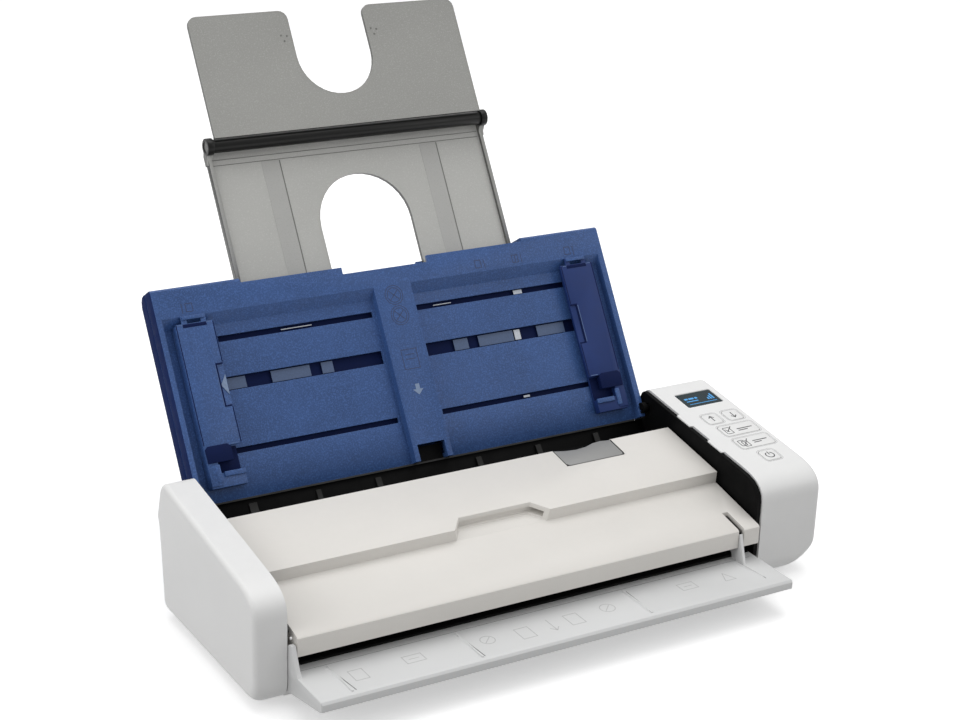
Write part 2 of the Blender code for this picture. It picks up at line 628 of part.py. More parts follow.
bpy.data.objects.remove(latch, do_unlink=True)
latch = make("release_latch", bm, "latch_grey", origin=(0, *LATCH_AXIS))
join(latch, prism([deck(66.0, 1.0), deck(68.4, 1.0), (69.2, 46.6), (70.2, 46.0), (68.4, 45.2), (66.6, 46.6)], 66.0, 76.0))

# ---------------------------------------------------------------- output tray
OUT_TOP = 17.2
section = [(2.6, 15.0), (1.2, 17.2), (-30.6, 17.2), (-31.6, 16.2), (-31.6, 13.0), (-30.2, 12.3), (-28.0, 12.6), (-28.0, 14.7), (-0.5, 14.7)]
out = make("output_tray", prism(section, -121.0, 121.4), "tray_grey", origin=(0, *OUT_PIVOT))
skirt = [(3.2, 6.0), (3.4, 15.5), (5.4, 21.0), (5.0, 25.6), (1.8, 27.0), (-0.8, 29.3), (-3.0, 29.5), (-4.0, 27.6), (-6.9, 20.9), (-9.2, 17.2), (-30.8, 17.0), (-31.4, 13.2), (-29.8, 12.2)]
join(out, prism(skirt, -121.25, -119.3))
cut(out, disc(*OUT_PIVOT, 1.7, -123, -117, 14))
join(out, prism([(3.2, 6.0), (3.4, 15.0), (2.0, 17.2), (-30.8, 17.0), (-31.4, 13.2), (-29.8, 12.2)], 119.6, 121.6))
fin = [(-8.6, 16.6), (-3.9, 31.0), (-2.6, 30.4), (1.0, 26.3), (4.4, 25.3), (4.7, 22.0), (1.6, 19.6), (0.4, 16.6)]
join(out, prism(fin, 110.75, 112.1))
cut(out, disc(*OUT_PIVOT, 1.35, 110, 112.3, 12))
for x in (-105.5, -43.5, 44.3, 109.0):
    if x > 108:
        continue
    join(out, box(x - 0.4, x + 0.4, -28.2, -5.0, 16.9, 17.75))

# ----------------------------------------------------------------- input tray
L_POCKET = (-118.6, -10.3)
R_POCKET = (9.9, 119.0)


def pocket_side(front):
    """Side view of a paper pocket: off the front plane against up the tray."""
    return [(front, -3.0), (FLOOR_OFF, -3.0), (FLOOR_OFF, 81.4), (0.0, 86.4), (front, 86.4)]


tray_front = make("input_tray_front", prism([(0, 0), (7.0, 0), (7.0, TRAY_H), (1.2, TRAY_H), (0, TRAY_H - 1.0)], *TRAY_X), "navy", "tray")
back_room = [(1.9, 88.6), (FLOOR_OFF + FLOOR_T, 83.0), (FLOOR_OFF + FLOOR_T, 2.2), (9.0, 2.2), (9.0, 98.8), (1.9, 98.8)]
cut(tray_front, prism(back_room, -119.3, 120.2), "tray")
cut(tray_front, prism([(1.9, 2.2), (9, 2.2), (9, 98.8), (1.9, 98.8)], L_POCKET[1] + 1.8, R_POCKET[0] - 1.8), "tray")
for x0, x1 in (L_POCKET, R_POCKET):
    cut(tray_front, prism(pocket_side(-3.0), x0, x1), "tray")
cut(tray_front, box(-76.7, 76.7, -2, 9, TRAY_MID_H, 104), "tray")
cut(tray_front, box(-76.7, 76.7, 1.9, 9, 95, 104), "tray")
cut(tray_front, box(-24.3, 22.0, -2, 9, 95.2, 104), "tray")
cut(tray_front, box(-7.7, 7.0, -2, 12, -2, 8.0), "tray")
for x0, x1 in ((-113.0, -12.0), (11.6, 113.0)):
    for s0, s1 in ((20.6, 23.2), (49.9, 56.3), (73.0, 75.8)):
        cut(tray_front, box(x0, x1, 3, 8, s0, s1), "tray")
# bearing bosses at the bottom corners
for x0, x1 in ((-121.3, -118.9), (119.8, 122.2)):
    join(tray_front, disc(TRAY_PIVOT[0], TRAY_PIVOT[1], 2.8, x0, x1, 18), "tray")
    cut(tray_front, disc(TRAY_PIVOT[0], TRAY_PIVOT[1], 1.8, x0 - 1, x1 + 1, 14), "tray")

back_side = [(7.3, 0.0), (13.2, 0.0), (TRAY_T, 1.2), (TRAY_T, TRAY_H - 5.0), (13.2, TRAY_H - 2.2), (11.6, TRAY_H - 0.6), (9.6, TRAY_H), (7.3, TRAY_H)]
tray_back = make("input_tray_back", prism(back_side, *TRAY_X), "navy", "tray")
cut(tray_back, prism([(5, 2.2), (12.0, 2.2), (12.0, 98.6), (5, 98.6)], -119.3, 120.2), "tray")
cut(tray_back, box(-76.7, 76.7, 5, 12.0, 95, 104), "tray")
cut(tray_back, box(-76.7, 76.7, 5, 20, TRAY_MID_H, 104), "tray")
cut(tray_back, box(-24.3, 22.0, 5, 20, 95.2, 104), "tray")
for name, x in (("tray_pin_left", (-123.4, -118.9)), ("tray_pin_right", (119.8, 125.7))):
    make(name, disc(*PIVOT, 1.5, *x, 14), "steel", smooth=True)

# ----------------------------------------------------------- paper side guides
pitch = math.pi * RACK_MODULE
r_pin = GUIDE_PINION_TEETH * RACK_MODULE / 2


def rack(x0, x1, s_line, up, s_far, teeth_from, teeth_to, phase):
    """Rack bar in the tray frame; the teeth stand on its edge at s_line, towards the pinion."""
    sign = 1 if up else -1
    root, tip = s_line - sign * 1.0 * RACK_MODULE, s_line + sign * 0.72 * RACK_MODULE
    pts = [(x0, s_far), (x0, root)]
    k = math.ceil((teeth_from - phase) / pitch)
    while phase + k * pitch < teeth_to:
        c = phase + k * pitch
        pts += [(c - 0.33 * pitch, root), (c - 0.10 * pitch, tip), (c + 0.10 * pitch, tip), (c + 0.33 * pitch, root)]
        k += 1
    pts += [(x1, root), (x1, s_far)]
    return prism(pts, 5.9, 7.0, "y")


# pinion with a tooth gap straight up and straight down, a rack tooth in each
half = math.pi / GUIDE_PINION_TEETH
outline = gear_outline(0.0, GUIDE_S, GUIDE_PINION_TEETH, RACK_MODULE, math.pi / 2 + half)
make("guide_pinion", ring(0.0, GUIDE_S, 0, 1.4, 5.9, 7.0, axis="y", outline=outline), "gear_white", "tray", origin=(0.0, 6.4, GUIDE_S))
make("left_guide_rack", rack(-110.0, 9.0, GUIDE_S + r_pin, False, 61.5, -62.0, 7.5, 0.0), "navy", "tray")
make("right_guide_rack", rack(-9.0, 110.0, GUIDE_S - r_pin, True, 44.5, -7.5, 62.0, pitch / 2 if GUIDE_PINION_TEETH % 2 else 0.0), "navy", "tray")


def guide(name, m):
    """Side guide: runner on the floor, fence, and the lip that holds the sheet's edge down."""
    def span(a, b):
        return (m * a, m * b) if m > 0 else (m * b, m * a)

    g = make(name, box(*span(96.5, 113.6), 3.0, 4.2, 6.5, 81.0), "navy", "tray")
    join(g, box(*span(108.2, 113.4), -1.0, 3.4, 7.0, 82.2), "tray")
    join(g, box(*span(94.6, 113.0), -1.0, 0.4, 24.6, 82.8), "tray")
    join(g, box(*span(96.0, 113.4), -0.6, 3.4, 6.0, 12.6), "tray")
    join(g, box(*span(98.0, 110.0), -1.0, -0.3, 84.6, 86.2), "tray")
    join(g, box(*span(98.0, 100.6), -1.0, -0.3, 81.0, 85.6), "tray")
    join(g, box(*span(107.4, 110.0), -1.0, -0.3, 81.0, 85.6), "tray")
    cut(g, box(*span(93.0, 98.6), -2.0, -0.35, 42.0, 62.5), "tray")
    # tongue through the wide slot to the rack
    join(g, box(*span(99.0, 107.5), 4.0, 5.6, 50.4, 55.8), "tray")
    return g


guide("left_paper_guide", -1)
guide("right_paper_guide", 1)

# ----------------------------------------------------------- paper support


def outline_arch():
    pts = [(-EXT_X, EXT_S[0]), (-24.9, EXT_S[0])]
    pts += [(-24.9, 121.4)] + arc(0, 121.4, 24.9, 180, 0, 18)[1:-1] + [(24.9, 121.4)]
    pts += [(24.9, EXT_S[0]), (EXT_X, EXT_S[0]), (EXT_X, EXT_S[1]), (-EXT_X, EXT_S[1])]
    return pts


lower = make("lower_extension_panel", prism(outline_arch(), *EXT_OFF, "y"), "smoke", "tray")
for m in (-1, 1):
    def sx(a, b, m=m):
        return (m * a, m * b) if m > 0 else (m * b, m * a)

    join(lower, box(*sx(73.2, 75.0), 7.6, 10.0, EXT_S[0], EXT_S[1]), "tray")
    arm = [(10.6, 158.0), (10.6, 163.0), (8.0, 167.0), (6.8, 168.9), (4.6, 169.5), (2.4, 168.8), (1.2, 166.0), (2.4, 163.4), (5.0, 162.4), (7.8, 160.0), (8.2, 158.0)]
    join(lower, prism(arm, *sx(73.2, 75.9)), "tray")
    join(lower, disc(BAR_OFF, BAR_S, 1.2, *sx(71.0, 73.6), 12), "tray")
join(lower, box(-73.5, 73.5, 10.0, 11.7, 157.6, 161.6), "tray")

bar = make("extension_hinge_bar", disc(BAR_OFF, BAR_S, BAR_R, -72.8, 72.8, 24), "black", "tray", origin=(0, BAR_OFF, BAR_S), smooth=True)
for x in ((-74, -70.4), (70.4, 74)):
    cut(bar, disc(BAR_OFF, BAR_S, 1.55, *x, 14), "tray")


def outline_notch():
    r = 4.5
    pts = [(-TOP_X, TOP_S[0]), (TOP_X, TOP_S[0])]
    pts += arc(TOP_X - r, TOP_S[1] - r, r, 0, 90, 4)
    pts += arc(20.4 + r, TOP_S[1] - r, r, 90, 180, 4)
    pts += arc(0, 205.0, 20.4, 0, -180, 18)
    pts += arc(-20.4 - r, TOP_S[1] - r, r, 0, 90, 4)
    pts += arc(-TOP_X + r, TOP_S[1] - r, r, 90, 180, 4)
    return pts


make("upper_extension_panel", prism(outline_notch(), *TOP_OFF, "y"), "smoke", "tray", origin=(0, BAR_OFF, BAR_S))
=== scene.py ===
"""Looks of a portable sheet fed document scanner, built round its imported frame."""

import json
import math

import bmesh
import bpy
from mathutils import Matrix, Vector


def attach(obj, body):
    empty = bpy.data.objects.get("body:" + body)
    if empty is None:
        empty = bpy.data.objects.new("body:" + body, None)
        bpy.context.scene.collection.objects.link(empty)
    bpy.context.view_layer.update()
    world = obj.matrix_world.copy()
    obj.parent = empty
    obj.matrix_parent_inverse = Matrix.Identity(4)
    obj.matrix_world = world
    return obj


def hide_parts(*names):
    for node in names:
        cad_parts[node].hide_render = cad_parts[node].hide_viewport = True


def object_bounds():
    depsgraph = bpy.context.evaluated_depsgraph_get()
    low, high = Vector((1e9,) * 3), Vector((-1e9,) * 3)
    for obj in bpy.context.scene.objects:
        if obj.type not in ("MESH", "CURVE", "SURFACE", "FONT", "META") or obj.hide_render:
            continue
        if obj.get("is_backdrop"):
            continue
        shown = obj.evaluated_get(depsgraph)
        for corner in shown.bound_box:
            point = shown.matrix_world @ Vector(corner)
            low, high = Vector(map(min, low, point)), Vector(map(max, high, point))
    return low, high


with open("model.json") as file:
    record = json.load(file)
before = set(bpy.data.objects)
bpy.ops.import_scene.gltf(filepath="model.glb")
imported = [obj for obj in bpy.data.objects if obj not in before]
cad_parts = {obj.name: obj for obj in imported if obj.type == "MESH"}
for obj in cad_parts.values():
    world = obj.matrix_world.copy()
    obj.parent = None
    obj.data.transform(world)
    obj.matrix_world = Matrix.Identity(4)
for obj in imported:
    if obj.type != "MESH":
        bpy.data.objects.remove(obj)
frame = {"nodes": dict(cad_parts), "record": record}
SIZE_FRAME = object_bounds()
NODES = frame["nodes"]
BODY_OF = {n: b for b, ns in frame["record"]["behaviour"]["bodies"].items() for n in ns}

# ------------------------------------------------------------------ the drawing
# Lengths below are in millimetres in the drawing frame; at() and on_tray() give
# metres in the frame's own axes.
SHIFT = (-12.35, -92.007)
TRAY_Y, TRAY_Z, TRAY_LEAN = 91.9, 53.9, 0.5624
SIN_T, COS_T = math.sin(TRAY_LEAN), math.cos(TRAY_LEAN)
SLOPE = math.atan2(65.9 - 54.6, 94.6 - 16.7)


def at(x, y, z):
    return Vector((x + SHIFT[0], y + SHIFT[1], z)) * 0.001


def on_tray(x, off, s):
    """off is behind the tray's front plane, s is up the tray."""
    return at(x, TRAY_Y + off * COS_T + s * SIN_T, TRAY_Z - off * SIN_T + s * COS_T)


def on_panel(x, y, depth=0.0):
    """Point of the control panel's slope; depth is below its surface."""
    return at(
        x,
        y + depth * math.sin(SLOPE),
        54.6 + (y - 16.7) * math.tan(SLOPE) - depth * math.cos(SLOPE),
    )


def on_deck(x, y, up=0.0):
    """Point above the cover's upper deck."""
    t = math.atan2(54.6 - 46.9, 73.0 - 31.5)
    return at(x, y - up * math.sin(t), 46.9 + (y - 31.5) * math.tan(t) + up * math.cos(t))


def on_catch(x, y, up=0.0):
    """Point above the output tray's top face."""
    return at(x, y, 17.2 + up)


def plain(x, y, z):
    return at(x, y, z)


# -------------------------------------------------------------------- materials
class Mat:
    """A node material, built up step by step."""

    def __init__(self, name):
        self.mat = bpy.data.materials.new(name)
        self.mat.use_nodes = True
        self.tree = self.mat.node_tree
        self.bsdf = self.tree.nodes["Principled BSDF"]
        self.coord = self.node("ShaderNodeTexCoord")

    def node(self, kind, **values):
        n = self.tree.nodes.new(kind)
        for k, v in values.items():
            setattr(n, k, v)
        return n

    def link(self, a, b):
        self.tree.links.new(a, b)

    def noise(self, scale, detail=4.0, rough=0.55, stretch=None):
        n = self.node("ShaderNodeTexNoise")
        n.inputs["Scale"].default_value = scale
        n.inputs["Detail"].default_value = detail
        n.inputs["Roughness"].default_value = rough
        if stretch:
            m = self.node("ShaderNodeMapping")
            m.inputs["Scale"].default_value = stretch
            self.link(self.coord.outputs["Object"], m.inputs["Vector"])
            self.link(m.outputs["Vector"], n.inputs["Vector"])
        else:
            self.link(self.coord.outputs["Object"], n.inputs["Vector"])
        return n.outputs["Fac"]

    def ramp(self, value, low, high, a=(0, 0, 0, 1), b=(1, 1, 1, 1)):
        r = self.node("ShaderNodeValToRGB")
        r.color_ramp.elements[0].position = low
        r.color_ramp.elements[1].position = high
        r.color_ramp.elements[0].color = a
        r.color_ramp.elements[1].color = b
        self.link(value, r.inputs["Fac"])
        return r.outputs["Color"]

    def mix(self, fac, a, b, mode="MIX"):
        m = self.node("ShaderNodeMix", data_type="RGBA", blend_type=mode)
        for sock, v in (("Factor", fac), ("A", a), ("B", b)):
            target = (
                m.inputs[0] if sock == "Factor" else m.inputs[6] if sock == "A" else m.inputs[7]
            )
            if isinstance(v, bpy.types.NodeSocket):
                self.link(v, target)
            else:
                target.default_value = v
        return m.outputs[2]

    def maprange(self, value, to_low, to_high, low=0.3, high=0.7):
        m = self.node("ShaderNodeMapRange")
        m.inputs["From Min"].default_value = low
        m.inputs["From Max"].default_value = high
        m.inputs["To Min"].default_value = to_low
        m.inputs["To Max"].default_value = to_high
        self.link(value, m.inputs["Value"])
        return m.outputs["Result"]

    def bump(self, height, strength, distance, previous=None):
        b = self.node("ShaderNodeBump")
        b.inputs["Strength"].default_value = strength
        b.inputs["Distance"].default_value = distance
        self.link(height, b.inputs["Height"])
        if previous:
            self.link(previous, b.inputs["Normal"])
        return b.outputs["Normal"]


def moulded(name, colour, rough, grain=2600.0, bump=0.12, blotch=0.02, edge_highlight=0.03, spec=0.5, coat=0.0, fleck=0.0):
    """Injection moulded plastic: fine spark grain, faint blotches, and a painted highlight that makes convex edges
    slightly paler.
    """
    m = Mat(name)
    fine = m.noise(grain, 2.0, 0.6)
    mid = m.noise(grain / 9.0, 3.0, 0.5)
    wide = m.noise(28.0, 3.0, 0.5)
    base = (*colour, 1.0)
    dark = tuple(c * (1 - blotch) for c in colour) + (1.0,)
    lite = tuple(min(c * (1 + blotch), 1.0) for c in colour) + (1.0,)
    tone = m.ramp(wide, 0.35, 0.65, dark, lite)
    speck = m.ramp(mid, 0.42, 0.6, tuple(c * (1 - 0.8 * blotch) for c in colour) + (1.0,), base)
    tone = m.mix(0.45, tone, speck)
    geo = m.node("ShaderNodeNewGeometry")
    # painted highlight: edges picked out by pointiness are mixed towards a paler tone
    edge = m.maprange(geo.outputs["Pointiness"], 0.0, edge_highlight, 0.53, 0.60)
    pale = tuple(min(c * 1.25 + 0.05, 1.0) for c in colour) + (1.0,)
    tone = m.mix(edge, tone, pale)
    if fleck:
        # the spark grain's tips are paler than its pits
        tips = tuple(min(c * 2.2 + 0.01, 1.0) for c in colour) + (1.0,)
        tone = m.mix(m.maprange(fine, 0.0, fleck, 0.48, 0.66), tone, tips)
    m.link(tone, m.bsdf.inputs["Base Color"])
    m.link(m.maprange(mid, rough - 0.05, rough + 0.06), m.bsdf.inputs["Roughness"])
    n = m.bump(fine, bump, 0.00006)
    n = m.bump(mid, bump * 0.6, 0.00012, n)
    m.link(n, m.bsdf.inputs["Normal"])
    m.bsdf.inputs["IOR"].default_value = 1.46
    m.bsdf.inputs["Specular IOR Level"].default_value = spec
    if coat:
        m.bsdf.inputs["Coat Weight"].default_value = coat
        m.bsdf.inputs["Coat Roughness"].default_value = 0.15
    return m.mat


def metal(name, colour, rough, axis="x"):
    m = Mat(name)
    stretch = {"x": (6, 900, 900), "y": (900, 6, 900), "z": (900, 900, 6)}[axis]
    lines = m.noise(1.0, 3.0, 0.6, stretch)
    wide = m.noise(60.0, 2.0)
    m.link(m.ramp(wide, 0.3, 0.7, tuple(c * 0.85 for c in colour) + (1,), (*colour, 1)), m.bsdf.inputs["Base Color"])
    m.link(m.maprange(lines, rough - 0.08, rough + 0.1), m.bsdf.inputs["Roughness"])
    m.link(m.bump(lines, 0.15, 0.00005), m.bsdf.inputs["Normal"])
    m.bsdf.inputs["Metallic"].default_value = 1.0
    return m.mat


def rubber(name, colour=(0.018, 0.018, 0.018), rough=0.78):
    m = Mat(name)
    grit = m.noise(1800.0, 3.0, 0.7)
    wide = m.noise(90.0, 3.0)
    m.link(m.ramp(wide, 0.3, 0.7, (*colour, 1), tuple(c * 1.8 for c in colour) + (1,)), m.bsdf.inputs["Base Color"])
    m.link(m.maprange(grit, rough - 0.1, rough + 0.1), m.bsdf.inputs["Roughness"])
    m.link(m.bump(grit, 0.35, 0.0001), m.bsdf.inputs["Normal"])
    return m.mat


def smoked(name, colour, alpha, rough=0.22):
    """Grey tinted clear plastic with fine dust and faint moulding flow."""
    m = Mat(name)
    flow = m.noise(14.0, 3.0, 0.5, (0.6, 2.2, 1.0))
    dust = m.noise(1700.0, 2.0, 0.6)
    tone = m.ramp(flow, 0.3, 0.7, tuple(c * 0.95 for c in colour) + (1,), tuple(c * 1.05 for c in colour) + (1,))
    tone = m.mix(m.maprange(dust, 0.0, 0.12, 0.45, 0.75), tone, (0.75, 0.75, 0.74, 1.0))
    m.link(tone, m.bsdf.inputs["Base Color"])
    m.link(m.maprange(dust, rough - 0.05, rough + 0.08), m.bsdf.inputs["Roughness"])
    m.link(m.bump(dust, 0.05, 0.00004), m.bsdf.inputs["Normal"])
    m.bsdf.inputs["Alpha"].default_value = alpha
    m.bsdf.inputs["IOR"].default_value = 1.49
    return m.mat


def ink(name, colour, rough=0.5):
    """Printed or pad-stamped marking: uneven ink film; the same film also carries painted shade and painted highlights.
    """
    m = Mat(name)
    film = m.noise(1500.0, 3.0, 0.6)
    m.link(m.ramp(film, 0.3, 0.7, tuple(c * 0.8 for c in colour) + (1,), (*colour, 1)), m.bsdf.inputs["Base Color"])
    m.link(m.maprange(film, rough - 0.08, rough + 0.08), m.bsdf.inputs["Roughness"])
    m.link(m.bump(film, 0.1, 0.00003), m.bsdf.inputs["Normal"])
    return m.mat


WHITE = moulded("cap_white", (0.80, 0.80, 0.795), 0.40, bump=0.10)
CREAM = moulded("cover_cream", (0.735, 0.712, 0.675), 0.42, bump=0.10)
CATCH = moulded("catch_white", (0.66, 0.665, 0.665), 0.42, bump=0.10)
NAVY = moulded("tray_navy", (0.036, 0.086, 0.240), 0.42, grain=1500.0, bump=0.55, blotch=0.14, edge_highlight=0.04, spec=0.4, fleck=0.42)
NAVY_SHADE = moulded("guide_navy_painted_shade", (0.014, 0.036, 0.150), 0.42, grain=1500.0, bump=0.25, blotch=0.10, edge_highlight=0.0, spec=0.3)
# dark navy of inner parts, also used as painted shade in the guides' pockets and along their edges
NAVY_DARK = moulded("inner_navy_and_painted_shade", (0.004, 0.011, 0.060), 0.65, grain=1500.0, bump=0.2, blotch=0.12, edge_highlight=0.0, spec=0.12)
NAVY_SIDE_SHADE = moulded("side_navy_painted_shade", (0.008, 0.020, 0.092), 0.7, grain=1500.0, bump=0.15, blotch=0.12, edge_highlight=0.0, spec=0.05)
BLACK = moulded("satin_black", (0.0022, 0.0022, 0.0023), 0.68, grain=1800.0, bump=0.15, blotch=0.15, edge_highlight=0.0, spec=0.12)
BAR_BLACK = moulded("bar_black", (0.007, 0.007, 0.0065), 0.34, grain=1800.0, bump=0.10, blotch=0.12, edge_highlight=0.0, spec=0.3)
LATCH = moulded("latch_grey", (0.28, 0.28, 0.275), 0.38, bump=0.10)
BUTTON = moulded("button_white", (0.79, 0.79, 0.785), 0.36, bump=0.06)
GEAR = moulded("gear_plastic", (0.72, 0.71, 0.66), 0.45)
BOARD = moulded("solder_mask", (0.010, 0.105, 0.040), 0.35, grain=900.0, bump=0.2, blotch=0.2)
STEEL = metal("ground_steel", (0.62, 0.62, 0.63), 0.30)
RUBBER = rubber("roller_rubber")
SMOKE = smoked("smoke_lower", (0.50, 0.50, 0.475), 0.80)
SMOKE_UP = smoked("smoke_upper", (0.355, 0.355, 0.335), 0.84)
GLASS = smoked("sensor_glass", (0.04, 0.05, 0.05), 0.75, 0.06)
INK = ink("mark_ink", (0.045, 0.045, 0.05))
LINE = ink("outline_ink", (0.34, 0.34, 0.35))
EMBOSS = ink("emboss_shade", (0.030, 0.055, 0.150), 0.5)
PALE_MARK = ink("pale_mark", (0.22, 0.30, 0.46), 0.5)
FAINT = ink("faint_mark", (0.53, 0.53, 0.53), 0.5)


# ------------------------------------------------------------------ mesh helpers
def link(obj):
    bpy.context.scene.collection.objects.link(obj)
    return obj


def as_object(name, bm, mat, smooth=35.0):
    bmesh.ops.recalc_face_normals(bm, faces=bm.faces)
    mesh = bpy.data.meshes.new(name)
    bm.to_mesh(mesh)
    bm.free()
    obj = link(bpy.data.objects.new(name, mesh))
    if mat:
        mesh.materials.append(mat)
    if smooth:
        mesh.shade_smooth()
        mesh.set_sharp_from_angle(angle=math.radians(smooth))
    return obj


def bake_modifiers(obj):
    bpy.context.view_layer.update()
    graph = bpy.context.evaluated_depsgraph_get()
    mesh = bpy.data.meshes.new_from_object(obj.evaluated_get(graph))
    obj.modifiers.clear()
    old, obj.data = obj.data, mesh
    bpy.data.meshes.remove(old)
    return obj


def soften(obj, width, segments=2, angle=32.0, smooth=40.0):
    """Small rounded edges, as moulding gives every edge."""
    if width:
        mod = obj.modifiers.new("edges", "BEVEL")
        mod.width = width * 0.001
        mod.segments = segments
        mod.limit_method = "ANGLE"
        mod.angle_limit = math.radians(angle)
        mod.use_clamp_overlap = True
        mod.harden_normals = False
        bake_modifiers(obj)
    obj.data.shade_smooth()
    obj.data.set_sharp_from_angle(angle=math.radians(smooth))
    return obj


def carve(obj, bm, operation="DIFFERENCE"):
    tool = as_object(obj.name + "_tool", bm, None, 0)
    mod = obj.modifiers.new("carve", "BOOLEAN")
    mod.operation = operation
    mod.solver = "EXACT"
    mod.object = tool
    bake_modifiers(obj)
    bpy.data.objects.remove(tool, do_unlink=True)
    return obj


def prism(points, a, b, place, bm=None):
    """Closed outline of (u, v) from a to b; place(u, v, t) gives a point."""
    bm = bm or bmesh.new()
    low = [bm.verts.new(place(u, v, a)) for u, v in points]
    high = [bm.verts.new(place(u, v, b)) for u, v in points]
    bm.faces.new(low)
    bm.faces.new(high)
    n = len(points)
    for i in range(n):
        j = (i + 1) % n
        bm.faces.new((low[i], low[j], high[j], high[i]))
    return bm


def block(a, b, place, bm=None):
    """Box between two corners, in any frame that place() knows."""
    (x0, y0, z0), (x1, y1, z1) = a, b
    return prism([(y0, z0), (y1, z0), (y1, z1), (y0, z1)], x0, x1, lambda u, v, t: place(t, u, v), bm)


def arc(cx, cy, r, a0, a1, n):
    return [
        (cx + r * math.cos(math.radians(a0 + (a1 - a0) * i / n)), cy + r * math.sin(math.radians(a0 + (a1 - a0) * i / n)))
        for i in range(n + 1)
    ]


def rounded(x0, x1, y0, y1, r, n=6):
    pts = []
    for cx, cy, a in ((x1 - r, y1 - r, 0), (x0 + r, y1 - r, 90), (x0 + r, y0 + r, 180), (x1 - r, y0 + r, 270)):
        pts += arc(cx, cy, r, a, a + 90, n)
    return pts


def ribbon(points, width, closed, place, low, high, bm=None):
    """Flat line of that width along points (u, v), standing from low to high."""
    bm = bm or bmesh.new()
    n = len(points)
    left, right = [], []
    for i in range(n):
        p = Vector(points[i])
        if closed:
            a, c = Vector(points[i - 1]), Vector(points[(i + 1) % n])
        else:
            a, c = Vector(points[max(i - 1, 0)]), Vector(points[min(i + 1, n - 1)])
        e1 = (p - a).normalized() if (p - a).length > 1e-9 else (c - p).normalized()
        e2 = (c - p).normalized() if (c - p).length > 1e-9 else e1
        m = Vector((-(e1 + e2).y, (e1 + e2).x)).normalized()
        k = max(m.dot(Vector((-e1.y, e1.x))), 0.4)
        left.append(p + m * width / 2 / k)
        right.append(p - m * width / 2 / k)
    rows = [[bm.verts.new(place(q.x, q.y, t)) for q in side] for side, t in ((left, low), (left, high), (right, high), (right, low))]
    for i in range(n if closed else n - 1):
        j = (i + 1) % n
        for k in range(4):
            a, b = rows[k], rows[(k + 1) % 4]
            bm.faces.new((a[i], a[j], b[j], b[i]))
    if not closed:
        bm.faces.new([rows[k][0] for k in range(4)])
        bm.faces.new([rows[k][-1] for k in range(4)])
    return bm


def refine(node, mat, bevel=0.25, segments=2, angle=32.0, smooth=40.0):
    """A finely edged copy of a CAD node that is shown in its place."""
    bm = bmesh.new()
    bm.from_mesh(NODES[node].data)
    bmesh.ops.remove_doubles(bm, verts=bm.verts, dist=2e-6)
    bmesh.ops.dissolve_limit(bm, angle_limit=math.radians(0.4), verts=bm.verts, edges=bm.edges)
    obj = as_object(node + "_skin", bm, mat, smooth)
    soften(obj, bevel, segments, angle, smooth)
    stand_for(obj, node)
    return obj


def stand_for(obj, node):
    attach(obj, BODY_OF[node])
    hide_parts(node)
    return obj


def detail(obj, body, slot):
    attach(obj, body)
    return obj


def dress(node, mat, bevel=0.0, segments=1):
    """The CAD node itself, shown with its finish and with small edges as modifiers."""
    obj = NODES[node]
    for i in range(len(obj.material_slots)):
        obj.material_slots[i].material = mat
    if not obj.material_slots:
        obj.data.materials.append(mat)
    weld = obj.modifiers.new("weld", "WELD")
    weld.merge_threshold = 2e-6
    if bevel:
        mod = obj.modifiers.new("edges", "BEVEL")
        mod.width = bevel * 0.001
        mod.segments = segments
        mod.limit_method = "ANGLE"
        mod.angle_limit = math.radians(40)
    return obj


# --------------------------------------------------------------------- end caps
def bezier(p0, corner, p1, k, n):
    a = Vector(p0)
    d = Vector(p1)
    b = a.lerp(Vector(corner), k)
    c = d.lerp(Vector(corner), k)
    out = []
    for i in range(n + 1):
        t = i / n
        q = a * (1 - t) ** 3 + b * 3 * t * (1 - t) ** 2 + c * 3 * t * t * (1 - t) + d * t**3
        out.append((q.x, q.y))
    return out


def cap_side():
    """Fine side view of an end cap, turning left from the bottom rear corner."""
    pts = bezier((94.8, 1.6), (98.2, 1.6), (98.5, 5.0), 0.55, 6)
    pts += bezier((100.9, 29.0), (102.1, 40.5), (103.4, 45.4), 0.66, 6)
    pts += bezier((103.9, 46.2), (104.7, 47.4), (104.1, 49.2), 0.6, 4)
    pts += bezier((101.2, 59.4), (99.4, 66.7), (94.2, 65.85), 0.62, 8)
    pts += bezier((17.4, 54.7), (0.0, 52.15), (0.0, 41.5), 0.70, 12)
    pts += bezier((0.0, 11.5), (0.0, 1.6), (9.6, 1.6), 0.58, 8)
    return pts


def inward(points, d):
    n = len(points)
    out = []
    for i in range(n):
        a, b, c = (Vector(points[(i + k) % n]) for k in (-1, 0, 1))
        e1, e2 = (b - a).normalized(), (c - b).normalized()
        m = (Vector((-e1.y, e1.x)) + Vector((-e2.y, e2.x))).normalized()
        out.append(b + m * d / max(m.dot(Vector((-e1.y, e1.x))), 0.5))
    return out


